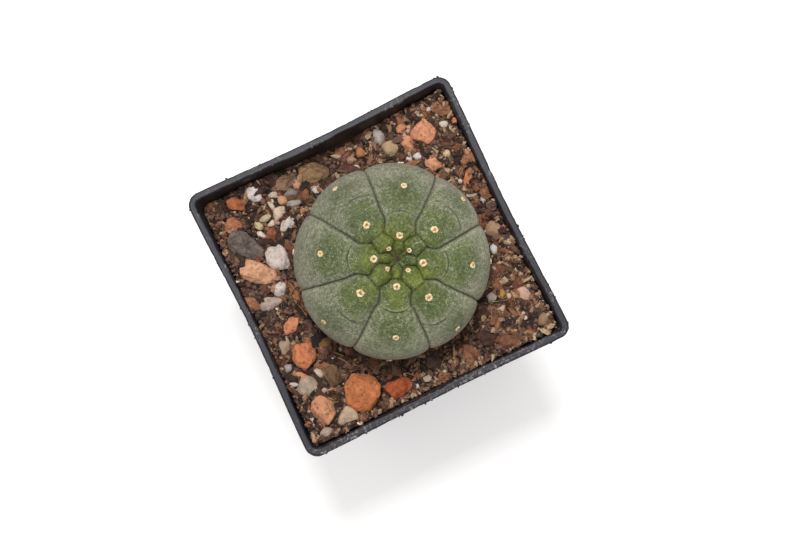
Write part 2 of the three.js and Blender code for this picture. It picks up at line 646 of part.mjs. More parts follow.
function makeSoil(stones) {
  const floor = FLOOR_TOP + GAP;
  const levels = [floor + 1, STEP_LEVEL - COLLAR_STEP, STEP_LEVEL, POT_HEIGHT];
  const first = squareRing(wallHalf(floor) - WALL - 1 - GAP, FOOT_CORNER - WALL - GAP, floor);
  const space = toSolid(loft([first, ...insideRings(GAP, levels)], [0, 0, floor], [0, 0, POT_HEIGHT]));
  let soil = addGrit(soilBlock()).intersect(space).subtract(plantSpace());
  for (const stone of stones) soil = soil.subtract(seatOf(stone));
  const whole = soil.decompose().sort((a, b) => b.volume() - a.volume())[0];
  return named('soil', toGeometry(whole.simplify(SLIVER)), '#4a3930', 0.95);
}

// ---------------------------------------------------------------- whole

const plant = new THREE.Group();
const stones = makeStones();
plant.add(makePot(), makeSoil(stones), makeCactus(), ...stones);

export default plant;
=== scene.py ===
# Potted matucana: the looks of a young globe cactus in a square nursery pot of gritty soil.
# Sizes are in millimetres, and each mesh gets them in metres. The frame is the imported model's:
# +Z up, with the origin at the centre of the pot's foot.

from math import cos, pi, radians, sin

import bpy
import numpy as np
from mathutils import Matrix


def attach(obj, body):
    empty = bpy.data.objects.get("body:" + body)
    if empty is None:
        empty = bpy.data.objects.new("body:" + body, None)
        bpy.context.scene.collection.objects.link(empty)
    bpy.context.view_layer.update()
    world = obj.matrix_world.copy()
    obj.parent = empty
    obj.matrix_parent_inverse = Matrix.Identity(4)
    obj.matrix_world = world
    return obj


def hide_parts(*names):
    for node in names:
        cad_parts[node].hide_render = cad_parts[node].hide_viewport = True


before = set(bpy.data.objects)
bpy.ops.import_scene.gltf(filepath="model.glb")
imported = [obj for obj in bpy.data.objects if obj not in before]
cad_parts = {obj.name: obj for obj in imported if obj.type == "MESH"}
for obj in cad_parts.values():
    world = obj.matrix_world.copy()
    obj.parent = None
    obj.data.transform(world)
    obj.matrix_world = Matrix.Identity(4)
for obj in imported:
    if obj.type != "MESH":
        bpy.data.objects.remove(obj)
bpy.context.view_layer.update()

# ------------------------------------------------------------------------------ camera
# A long lens on a copy stand, looking almost straight down at the rim of the pot. The pot
# stands turned on the table, so its +X side shows towards the right and a little downwards.

MM = 0.001
VIEW_TARGET = np.array([5.2, -2.9, 75.0])
VIEW_DISTANCE = 460.0
VIEW_TURN = radians(26.07)
VIEW_TILT = radians(3.5)
LENS = 75.3

image_right = np.array([cos(VIEW_TURN), -sin(VIEW_TURN), 0.0])
image_up = np.array([sin(VIEW_TURN), cos(VIEW_TURN), 0.0])
towards_camera = np.array([0.0, 0.0, cos(VIEW_TILT)]) - image_up * sin(VIEW_TILT)


def aimed(place, back, right):
    """A matrix that puts an object at a place, looking against `back`, with `right` to its right."""
    up = np.cross(back, right)
    turn = Matrix((right, up / np.linalg.norm(up), back)).transposed().to_4x4()
    return Matrix.Translation(place * MM) @ turn


camera_data = bpy.data.cameras.new("camera")
camera_data.lens = LENS
camera_data.clip_start = 0.01
camera = bpy.data.objects.new("camera", camera_data)
camera.matrix_world = aimed(VIEW_TARGET + towards_camera * VIEW_DISTANCE, towards_camera, image_right)
bpy.context.collection.objects.link(camera)
bpy.context.scene.camera = camera
bpy.context.scene.view_settings.view_transform = "Standard"

# ------------------------------------------------------------------------------ stage
# A sheet of milky white board, lit from below as well, under a broad overhead softbox and a
# smaller key light that leans a little towards +Y, with white walls all round.

FLOOR_HALF = 1500.0
FLOOR_DROP = 0.05  # how far the board lies under the pot's foot, so that no faces coincide
TOWARDS_KEY = np.array([0.083, 0.31, 1.0])
KEY_DISTANCE = 1000.0
KEY_SIZE = 190.0
KEY_WATTS = 6.0
TOWARDS_SOFTBOX = np.array([-0.06, 0.23, 1.0])
SOFTBOX_DISTANCE = 1300.0
SOFTBOX_SIZE = 1100.0
SOFTBOX_WATTS = 4.8
WALL_LIGHT = 0.44
BOARD_GLOW = 0.42  # keeps the pot's shadow on the board pale


def linear(code):
    """An sRGB hex colour as linear red, green, blue and alpha."""
    srgb = np.array([int(code[i:i + 2], 16) for i in (1, 3, 5)]) / 255
    low = srgb / 12.92
    high = ((srgb + 0.055) / 1.055) ** 2.4
    return (*np.where(srgb <= 0.04045, low, high), 1.0)


def repeats(size):
    """A pattern's scale, from its size in millimetres: how often it repeats in a metre. A size of
    10 / 11 is that of eleven repeats in 10 mm."""
    return 1 / (size * MM)


def feed(node, inputs):
    """Sets or links a node's inputs, either the first few in order or a dictionary of sockets.
    What feeds one is a value, an output, or a node, which gives its first output in use."""
    for name, value in inputs.items() if isinstance(inputs, dict) else enumerate(inputs):
        if isinstance(value, bpy.types.Node):
            value = next(socket for socket in value.outputs if socket.enabled)
        if isinstance(value, bpy.types.NodeSocket):
            node.id_data.links.new(value, node.inputs[name])
        else:
            node.inputs[name].default_value = value


def add_node(material, kind, inputs=(), stops=(), **settings):
    """Adds a shader node and feeds it. Stops are the places and colours of a ramp, in rising
    order. A MapRange takes its value, then the two ends of the old range and of the new one."""
    made = material.node_tree.nodes.new("ShaderNode" + kind)
    for name, value in settings.items():
        setattr(made, name, value)
    feed(made, inputs)
    if stops:
        ramp = made.color_ramp.elements
        ramp.remove(ramp[1])
        ramp[0].position, ramp[0].color = stops[0][0], linear(stops[0][1])
        for place, code in stops[1:]:
            ramp.new(place).color = linear(code)
    return made


def new_material(name):
    """An empty material and the shader that it ends in."""
    material = bpy.data.materials.new(name)
    material.use_nodes = True
    return material, material.node_tree.nodes["Principled BSDF"]


def add_light(name, towards, distance, size, watts):
    """A square area light that faces the pot's rim."""
    data = bpy.data.lights.new(name, "AREA")
    data.size = size * MM
    data.energy = watts
    light = bpy.data.objects.new(name, data)
    back = towards / np.linalg.norm(towards)
    side = np.cross([0.0, 1.0, 0.0], back)
    light.matrix_world = aimed(back * distance, back, side / np.linalg.norm(side))
    bpy.context.collection.objects.link(light)


board = bpy.data.meshes.new("floor")
corners = np.array([[-1, -1, 0], [1, -1, 0], [1, 1, 0], [-1, 1, 0]]) * FLOOR_HALF
board.from_pydata((corners - [0, 0, FLOOR_DROP]) * MM, [], [[0, 1, 2, 3]])
board_paper, shader = new_material("matt white board")
feed(shader, {"Base Color": linear("#e6e3e2"), "Roughness": 0.95, "Emission Color": linear("#ffffff"),
              "Emission Strength": BOARD_GLOW})
board.materials.append(board_paper)
floor = bpy.data.objects.new("floor", board)
bpy.context.collection.objects.link(floor)

add_light("key", TOWARDS_KEY, KEY_DISTANCE, KEY_SIZE, KEY_WATTS)
add_light("softbox", TOWARDS_SOFTBOX, SOFTBOX_DISTANCE, SOFTBOX_SIZE, SOFTBOX_WATTS)
world = bpy.data.worlds.new("white walls")
world.use_nodes = True
world.node_tree.nodes["Background"].inputs["Color"].default_value = (1, 1, 1, 1)
world.node_tree.nodes["Background"].inputs["Strength"].default_value = WALL_LIGHT
bpy.context.scene.world = world

# ------------------------------------------------------------------------------ pot
# A thin square nursery pot, injection moulded from black polypropylene. Its walls taper, a collar
# under the rim lets the pots stack, and the warm soil has let the rim's sides sag inwards.
# Crumbs of flash still stick out where the halves of the mould met at the rim's edge.

POT_HEIGHT = 75.0
RIM_HALF = 40.0
RIM_WIDTH = 2.0
RIM_THICK = 1.3
RIM_CORNER = 3.6
WALL = 1.0
COLLAR_DEPTH = 9.0
COLLAR_STEP = 1.2
FOOT_HALF = 29.5
FOOT_RING = 4.0
FOOT_CORNER = 5.6
FLOOR_RECESS = 1.6
FLOOR_TOP = FLOOR_RECESS + 1.2
EDGE = 0.3
SIDE_BOW = np.array([0.6, 0.8, 0.75, 0.3])  # of the sides at +X, +Y, -X and -Y
DRAIN_RADIUS = 3.2
DRAIN_OFFSET = 14.0
DRAIN_PLACES = [(0, 0), (1, 1), (-1, 1), (-1, -1), (1, -1)]
STEP_LEVEL = POT_HEIGHT - COLLAR_DEPTH
POT_SIDE_STEPS = 72
POT_CORNER_STEPS = 16


def smooth_step(low, high, value):
    """0 up to `low`, 1 from `high`, and a smooth S between them."""
    t = np.clip((value - low) / (high - low), 0, 1)
    return t * t * (3 - 2 * t)


def square_ring(half, corner, z, side_steps=POT_SIDE_STEPS, corner_steps=POT_CORNER_STEPS):
    """One level of the pot: a square with round corners, whose sides bow in as (1 - t^2)^2
    along each side, more the nearer the level is to the rim."""
    t = 2 * np.arange(side_steps) / side_steps - 1
    angle = np.arange(corner_steps) / corner_steps * pi / 2
    bow = smooth_step(0.3, 1, z / POT_HEIGHT) * SIDE_BOW[:, None] * (1 - t * t) ** 2
    straight = np.stack([half - bow, np.broadcast_to(t * (half - corner), bow.shape)], -1)
    centre = half - corner
    bend = np.stack([centre + corner * np.cos(angle), centre + corner * np.sin(angle)], -1)
    quarter = np.concatenate([straight, np.broadcast_to(bend, (4, *bend.shape))], 1)
    turn = np.arange(4) * pi / 2
    x = quarter[..., 0] * np.cos(turn)[:, None] - quarter[..., 1] * np.sin(turn)[:, None]
    y = quarter[..., 0] * np.sin(turn)[:, None] + quarter[..., 1] * np.cos(turn)[:, None]
    return np.stack([x.ravel(), y.ravel(), np.full(x.size, float(z))], -1)


def wall_half(z):
    """Half the width over the wall at a level: a straight taper, plus the collar's step."""
    top = RIM_HALF - RIM_WIDTH + WALL - COLLAR_STEP
    return FOOT_HALF + (top - FOOT_HALF) * z / POT_HEIGHT + COLLAR_STEP * smooth_step(
        STEP_LEVEL - COLLAR_STEP, STEP_LEVEL, z)


def corner_at(z):
    """Radius of the wall's outer corners at a level."""
    return FOOT_CORNER + (RIM_CORNER - FOOT_CORNER) * z / POT_HEIGHT


def inner_ring(z, inset=0.0, **steps):
    """The inside of the wall at a level, moved inwards by `inset`."""
    return square_ring(wall_half(z) - WALL - inset, corner_at(z) - WALL - inset, z, **steps)


def hashed(a, b):
    """Repeatable numbers from 0 to 1: the fraction left of a sine times a large number."""
    value = np.sin(a * 127.1 + b * 311.7) * 43758.5453
    return value - np.floor(value)


def plane_noise(x, y, cell, seed):
    """Noise from -1 to 1: hashed heights on a square lattice, blended by smooth steps."""
    cell_x, cell_y = np.floor(x / cell), np.floor(y / cell)
    tx, ty = smooth_step(0, 1, x / cell - cell_x), smooth_step(0, 1, y / cell - cell_y)
    corner = [[hashed(cell_x + i + seed, cell_y + j - seed) * 2 - 1 for j in (0, 1)] for i in (0, 1)]
    near = corner[0][0] + (corner[1][0] - corner[0][0]) * tx
    far = corner[0][1] + (corner[1][1] - corner[0][1]) * tx
    return near + (far - near) * ty


def loft(rings, first_pole, last_pole):
    """Closed surface through rings of equal length, with a fan on a pole at either end. The
    rings run anticlockwise seen from the last pole's side."""
    count, columns = len(rings), len(rings[0])
    row, column = np.mgrid[0:count - 1, 0:columns]
    start, end = row * columns + column, row * columns + (column + 1) % columns
    quads = np.stack([start, end, end + columns, start + columns], -1).reshape(-1, 4)
    here = np.arange(columns)
    after = (here + 1) % columns
    pole, top = count * columns, (count - 1) * columns
    first_fan = np.stack([np.full(columns, pole), after, here], -1)
    last_fan = np.stack([np.full(columns, pole + 1), top + here, top + after], -1)
    points = np.concatenate([np.concatenate(rings), [first_pole], [last_pole]])
    return points, quads.tolist() + first_fan.tolist() + last_fan.tolist()


ATTRIBUTE_KINDS = {  # by the shape of one point's value
    (): ("FLOAT", "value"), (3,): ("FLOAT_VECTOR", "vector"), (4,): ("FLOAT_COLOR", "color")}


def add_piece(name, points, faces, material, **attributes):
    """A smooth-shaded object at the origin from points in millimetres. Each attribute is one
    number, colour or vector per point."""
    mesh = bpy.data.meshes.new(name)
    mesh.from_pydata((np.asarray(points) * MM).tolist(), [], faces)
    mesh.shade_smooth()
    for label, values in attributes.items():
        values = np.asarray(values, dtype=np.float32)
        kind, key = ATTRIBUTE_KINDS[values.shape[1:]]
        mesh.attributes.new(label, kind, "POINT").data.foreach_set(key, values.ravel())
    mesh.materials.append(material)
    piece = bpy.data.objects.new(name, mesh)
    bpy.context.collection.objects.link(piece)
    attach(piece, "root")
    return piece


# Black polypropylene: satin, slightly blue, with a fine orange peel. Dried soil and dust have left
# pale specks on it, most of all on the rim and on the side at -Y, and a brown tide mark inside.
# The peel is too fine to show, so it is drawn several times its width.
polypropylene, shader = new_material("moulded black polypropylene")
place = add_node(polypropylene, "TexCoord").outputs["Object"]
axes = add_node(polypropylene, "SeparateXYZ", {"Vector": place}).outputs
on_rim = add_node(polypropylene, "MapRange", (axes["Z"], 70.5 * MM, 74.8 * MM))
front = add_node(polypropylene, "MapRange", (axes["Y"], -36 * MM, -39.5 * MM, 0.0, 0.32))
dust = add_node(polypropylene, "TexNoise", {"Vector": place, "Scale": repeats(10 / 11), "Detail": 8.0,
                                            "Roughness": 0.75})
patches = add_node(polypropylene, "TexNoise", {"Vector": place, "Scale": repeats(100 / 11), "Detail": 5.0})
specks = add_node(polypropylene, "MapRange", (dust, 0.53, 0.66))  # a noise's middle value is 0.5
dusty = add_node(polypropylene, "Math", (patches, front), operation="ADD")
lying = add_node(polypropylene, "MapRange", (dusty, 0.48, 0.68, 0.0, 0.75))
settled = add_node(polypropylene, "Math", (on_rim, 0.75, 0.12), operation="MULTIPLY_ADD")
share = add_node(polypropylene, "Math", (specks, lying), operation="MULTIPLY")
share = add_node(polypropylene, "Math", (share, settled), operation="MULTIPLY")
plastic = add_node(polypropylene, "Mix", {0: on_rim, 6: linear("#221e22"), 7: linear("#1c1923")},
                   data_type="RGBA")
within = add_node(polypropylene, "Attribute", attribute_name="within").outputs["Fac"]
tide = add_node(polypropylene, "MapRange", (axes["Z"], 72.5 * MM, 67 * MM, -0.25, 0.25))
soiled = add_node(polypropylene, "Math", (patches, tide), operation="ADD")
mud = add_node(polypropylene, "MapRange", (soiled, 0.52, 0.75, 0.0, 0.7))
mud = add_node(polypropylene, "Math", (mud, within), operation="MULTIPLY")
muddy = add_node(polypropylene, "Mix", {0: mud, 6: plastic, 7: linear("#43342b")}, data_type="RGBA")
dusted = add_node(polypropylene, "Mix", {0: share, 6: muddy, 7: linear("#b4aca6")}, data_type="RGBA")
peel = add_node(polypropylene, "TexNoise", {"Vector": place, "Scale": repeats(10 / 15), "Detail": 3.0})
rough = add_node(polypropylene, "Math", (peel, share), operation="ADD")
bumps = add_node(polypropylene, "Bump", {"Height": rough, "Strength": 0.5, "Distance": 0.08 * MM})
feed(shader, {"Base Color": dusted, "Normal": bumps, "Roughness": 0.5, "Specular IOR Level": 0.4})

under = POT_HEIGHT - RIM_THICK
walls_out = np.concatenate([np.linspace(EDGE * 2, STEP_LEVEL - COLLAR_STEP, 9),
                            np.linspace(STEP_LEVEL - COLLAR_STEP, STEP_LEVEL, 5)[1:], [70.0, under]])
walls_in = np.concatenate([[72.5, 70.0, 68.0], np.linspace(STEP_LEVEL, STEP_LEVEL - COLLAR_STEP, 5),
                           np.linspace(60.0, FLOOR_TOP + 1, 5)])
rim_profile = [  # half-width, corner radius, level
    (RIM_HALF - EDGE, RIM_CORNER, under),
    (RIM_HALF - 0.08, RIM_CORNER, under + 0.1),
    (RIM_HALF, RIM_CORNER, under + EDGE),
    (RIM_HALF, RIM_CORNER, POT_HEIGHT - EDGE * 1.6),
    (RIM_HALF - 0.08, RIM_CORNER, POT_HEIGHT - EDGE * 0.7),
    (RIM_HALF - EDGE, RIM_CORNER, POT_HEIGHT - EDGE * 0.15),
    (RIM_HALF - EDGE * 2, RIM_CORNER, POT_HEIGHT),
    (RIM_HALF - RIM_WIDTH * 0.55, RIM_CORNER - 1.0, POT_HEIGHT - 0.12),
    (RIM_HALF - RIM_WIDTH + EDGE * 2, RIM_CORNER - RIM_WIDTH + 0.4, POT_HEIGHT - 0.05),
    (RIM_HALF - RIM_WIDTH + EDGE * 0.5, RIM_CORNER - RIM_WIDTH, POT_HEIGHT - EDGE * 0.3),
    (RIM_HALF - RIM_WIDTH, RIM_CORNER - RIM_WIDTH, POT_HEIGHT - EDGE),
]
foot_inner = FOOT_HALF - FOOT_RING
pot_rings = [square_ring(half, corner, z) for half, corner, z in [
    (foot_inner - 0.6, FOOT_CORNER - FOOT_RING, FLOOR_RECESS),
    (foot_inner - 0.15, FOOT_CORNER - FOOT_RING, 0.3),
    (foot_inner, FOOT_CORNER - FOOT_RING, 0),
    (FOOT_HALF - EDGE * 2, FOOT_CORNER, 0),
    (FOOT_HALF - EDGE * 0.5, FOOT_CORNER, EDGE * 0.5)]]
pot_rings += [square_ring(wall_half(z), corner_at(z), z) for z in walls_out]
rim_start = len(pot_rings)
pot_rings += [square_ring(*row) for row in rim_profile]
rim_end = len(pot_rings)
pot_rings += [inner_ring(z) for z in walls_in]
pot_rings += [square_ring(wall_half(FLOOR_TOP) - WALL - 1, FOOT_CORNER - WALL, FLOOR_TOP)]
pot_rings = np.array(pot_rings)

# The walls aren't flat: the plastic waves by a few tenths of a millimetre. Nicks roughen the
# rim's outer edge, and its inner edge is ragged where the flash was trimmed.
outward = pot_rings[..., :2] / np.linalg.norm(pot_rings[..., :2], axis=-1, keepdims=True)
along = np.arange(pot_rings.shape[1]) / pot_rings.shape[1]
waves = 0.12 * plane_noise(along * 320, pot_rings[..., 2], 24, 3) * smooth_step(4, 20, pot_rings[..., 2])
pot_rings[..., :2] -= outward * np.maximum(waves, -0.05)[..., None]
nicks = np.maximum(plane_noise(along * 320, along * 0, 1.1, 9), 0) ** 3
outer_edge = slice(rim_start + 1, rim_start + 6)
pot_rings[outer_edge, :, :2] -= outward[outer_edge] * (0.16 * nicks)[:, None]
ragged = 0.2 * plane_noise(along * 320, along * 0, 7, 15)
ragged = ragged + 0.12 * plane_noise(along * 320, along * 0, 2.2, 17)
inner_edge = slice(rim_end - 4, rim_end)
pot_rings[inner_edge, :, :2] += outward[inner_edge] * ragged[:, None]

points, faces = loft(pot_rings, [0, 0, FLOOR_RECESS], [0, 0, FLOOR_TOP])
within = np.repeat(np.arange(len(pot_rings)) >= rim_end, pot_rings.shape[1])
pot = add_piece("nursery_pot", points, faces, polypropylene, within=np.append(within, [False, True]))

# Five drain holes, cut through the floor.
bpy.ops.mesh.primitive_cylinder_add(vertices=48, radius=DRAIN_RADIUS * MM, depth=8 * MM)
drill = bpy.context.object
for east, north in DRAIN_PLACES:
    drill.location = np.array([east * DRAIN_OFFSET, north * DRAIN_OFFSET, FLOOR_TOP]) * MM
    cut = pot.modifiers.new("drain hole", "BOOLEAN")
    cut.operation = "DIFFERENCE"
    cut.object = drill
    bpy.context.view_layer.update()
    bored = bpy.data.meshes.new_from_object(pot.evaluated_get(bpy.context.evaluated_depsgraph_get()))
    pot.modifiers.clear()
    pot.data = bored
bpy.data.objects.remove(drill)
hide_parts("pot")

# Flash: torn crumbs of plastic along the parting line, a few tenths of a millimetre to a millimetre.
FLASH_COUNT = 130


def ball(rows, columns):
    """Directions of a closed ball of latitude rows and longitude columns, and its faces."""
    polar = (np.arange(rows) + 1) / (rows + 1) * pi
    around = np.arange(columns) / columns * 2 * pi
    ring = [np.stack([np.sin(p) * np.cos(around), np.sin(p) * np.sin(around),
                      np.full(columns, -np.cos(p))], -1) for p in polar]
    return loft(ring, [0, 0, -1], [0, 0, 1])


def many(faces, count, points_each):
    """The faces of `count` like shapes whose points follow one another."""
    longest = max(map(len, faces))
    table = np.array([face + face[-1:] * (longest - len(face)) for face in faces])
    table = (table[None] + np.arange(count)[:, None, None] * points_each).reshape(-1, longest)
    lengths = np.tile([len(face) for face in faces], count)
    return [row[:length] for row, length in zip(table.tolist(), lengths.tolist())]


seeded = np.random.default_rng(11)
lump, lump_faces = ball(3, 6)
rim_line = square_ring(RIM_HALF - 0.15, RIM_CORNER, POT_HEIGHT - RIM_THICK * 0.6)
chosen = seeded.integers(0, len(rim_line), FLASH_COUNT)
size = 0.13 + 0.4 * seeded.random(FLASH_COUNT) ** 2.5
stretch = np.stack([size, size * (0.6 + seeded.random(FLASH_COUNT)), size * 0.7], -1)
knobs = lump[None] * stretch[:, None] * (0.75 + 0.5 * seeded.random((FLASH_COUNT, len(lump), 1)))
knobs = knobs + rim_line[chosen][:, None]
flash = add_piece("rim_flash", knobs.reshape(-1, 3), many(lump_faces, FLASH_COUNT, len(lump)), polypropylene)

# ------------------------------------------------------------------------------ potting mix
# Peat, coir, bark fines and grit, settled to 7 mm under the rim, sunk a little further here and
# there, and banked up against the walls. The plant stands in a plain hole in it. The broad
# surface is one sheet; the crumbs, shreds and fibres that follow lie on it.

SOIL_LEVEL = 67.8
SOIL_FORMS = [  # x, y, spread, height
    (-7, 38, 8, -4.0), (7, 38, 8, -4.5), (20, 39, 8, -2.5), (-37, 36, 7, -3.5), (2, -33, 8, -3.0),
    (-12, -36, 6, -1.2), (33, -32, 8, 1.8), (-33, 4, 10, 0.8), (33, 22, 10, 0.6)]
BANKS = [3.2, 1.0, 5.0, 4.2]  # how high the mix is banked against the walls at +X, +Y, -X and -Y
BANK_REACH = 2.0
BANK_LINE = 37.0  # where the banks are at their full height, from the middle
SOIL_GAP = 0.15
SOIL_RINGS = 90
SOIL_SIDE_STEPS = 96
SOIL_CORNER_STEPS = 20
PLANT_FOOT = np.array([3.2, 0.3])
PLANT_LEAN = radians(6.6)
LEAN_TOWARDS = radians(-64)
HOLE_RADIUS = 19.0
HOLE_DEPTH = 28.0


def soil_height(x, y):
    """Level of the broad surface: a plain with bell-shaped hollows and mounds, and gentle noise."""
    z = SOIL_LEVEL + 0.55 * plane_noise(x, y, 9, 5)
    for form_x, form_y, spread, height in SOIL_FORMS:
        z = z + height * np.exp(-((x - form_x) ** 2 + (y - form_y) ** 2) / spread ** 2)
    return z


def bank_height(x, y):
    """Height of the banks along the walls: each falls off as exp(-distance / reach), and the
    highest one counts."""
    return np.max([height * np.exp(-np.maximum(0, BANK_LINE - out) / BANK_REACH)
                   for height, out in zip(BANKS, (x, y, -x, -y))], axis=0)


def soil_surface(x, y):
    """Level of the rough surface: the broad one and its banks, with crumbs of 3 mm down to 0.5 mm."""
    rough = 0.5 * plane_noise(x, y, 3, 11) + 0.7 * np.abs(plane_noise(x, y, 1.9, 21))
    rough = rough + 0.24 * plane_noise(x, y, 0.9, 31) + 0.12 * plane_noise(x, y, 0.5, 41)
    return soil_height(x, y) + rough + bank_height(x, y) * (1 + 0.2 * plane_noise(x, y, 4, 51))


def kept_inside(points):
    """Points moved inwards, where they must be, to lie inside the pot's wall: inside its bowed
    sides, and inside its round corners."""
    x, y, z = np.moveaxis(points, -1, 0)
    half = wall_half(z) - WALL - SOIL_GAP
    bow = smooth_step(0.3, 1, z / POT_HEIGHT)
    half_x = half - bow * np.where(x > 0, SIDE_BOW[0], SIDE_BOW[2]) * (1 - np.clip(y / half, -1, 1) ** 2) ** 2
    half_y = half - bow * np.where(y > 0, SIDE_BOW[1], SIDE_BOW[3]) * (1 - np.clip(x / half, -1, 1) ** 2) ** 2
    x, y = np.clip(x, -half_x, half_x), np.clip(y, -half_y, half_y)
    corner = corner_at(z) - WALL - SOIL_GAP
    straight = half - corner
    past_x, past_y = np.maximum(np.abs(x) - straight, 0), np.maximum(np.abs(y) - straight, 0)
    share = np.minimum(1, corner / np.maximum(np.hypot(past_x, past_y), 0.01))
    x = np.sign(x) * (np.minimum(np.abs(x), straight) + past_x * share)
    y = np.sign(y) * (np.minimum(np.abs(y), straight) + past_y * share)
    return np.stack([x, y, z], -1)


# Peat: matt and very dark, made of crumbs just under a millimetre wide that have dried to their
# own red-brown, grey-brown or tan, with painted shade in the gaps between them.
PEAT_TONES = [(0.1, "#1f150f"), (0.35, "#3b2a21"), (0.55, "#523d31"), (0.72, "#675046"),
              (0.86, "#7c5e49"), (0.97, "#967b66")]
peat, shader = new_material("dry peat and bark fines")
place = add_node(peat, "TexCoord").outputs["Object"]
warp = add_node(peat, "TexNoise", {"Vector": place, "Scale": repeats(10 / 7), "Detail": 4.0,
                                   "Roughness": 0.7})
bent = add_node(peat, "VectorMath", {0: warp.outputs["Color"], "Scale": 1.2 * MM}, operation="SCALE")
moved = add_node(peat, "VectorMath", (place, bent), operation="ADD")
crumbs = add_node(peat, "TexVoronoi", {"Vector": moved, "Scale": repeats(10 / 11.5)})
own = add_node(peat, "SeparateColor", {"Color": crumbs.outputs["Color"]}).outputs["Green"]
tones = add_node(peat, "ValToRGB", {"Fac": own}, PEAT_TONES)
# Painted shade: the gaps between the crumbs are drawn dark, and sunk in the bump.
painted_gap_shade = add_node(peat, "MapRange", (crumbs, 0.25, 0.6, 1.15, 0.25))
grain = add_node(peat, "MapRange", (warp, 0.3, 0.7, 0.6, 1.4))
shade = add_node(peat, "Math", (painted_gap_shade, grain), operation="MULTIPLY")
lit = add_node(peat, "VectorMath", {0: tones, "Scale": shade}, operation="SCALE")
bumps = add_node(peat, "Bump", {"Height": shade, "Strength": 0.9, "Distance": 0.35 * MM})
feed(shader, {"Base Color": lit, "Normal": bumps, "Roughness": 0.95})

side = {"side_steps": SOIL_SIDE_STEPS, "corner_steps": SOIL_CORNER_STEPS}
edge = inner_ring(SOIL_LEVEL, SOIL_GAP, **side)
away = edge[:, :2] - PLANT_FOOT
reach = np.linalg.norm(away, axis=1, keepdims=True)
share = np.linspace(0, 1, SOIL_RINGS)[:, None, None]
sheet_xy = PLANT_FOOT + away / reach * (HOLE_RADIUS + share * (reach - HOLE_RADIUS))
sheet = kept_inside(np.dstack([sheet_xy, soil_surface(sheet_xy[..., 0], sheet_xy[..., 1])]))
hole = [np.column_stack([PLANT_FOOT + away / reach * HOLE_RADIUS * narrowing,
                         np.full(len(edge), SOIL_LEVEL - depth)])
        for narrowing, depth in [(0.12, HOLE_DEPTH), (0.4, 12), (0.9, 5)]]
floor_level = FLOOR_TOP + 0.4
depths = [inner_ring(z, SOIL_GAP, **side) for z in (STEP_LEVEL - COLLAR_STEP, 40.0, floor_level + 1.4)]
bottom = square_ring(wall_half(floor_level) - WALL - 2, FOOT_CORNER - WALL - 1, floor_level, **side)
rings = np.array(hole + list(sheet) + depths + [bottom])[::-1]
hole_bottom = [*PLANT_FOOT, SOIL_LEVEL - HOLE_DEPTH]
points, faces = loft(rings, [0, 0, floor_level], hole_bottom)
soil = add_piece("potting_mix", points, faces, peat)
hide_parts("soil")


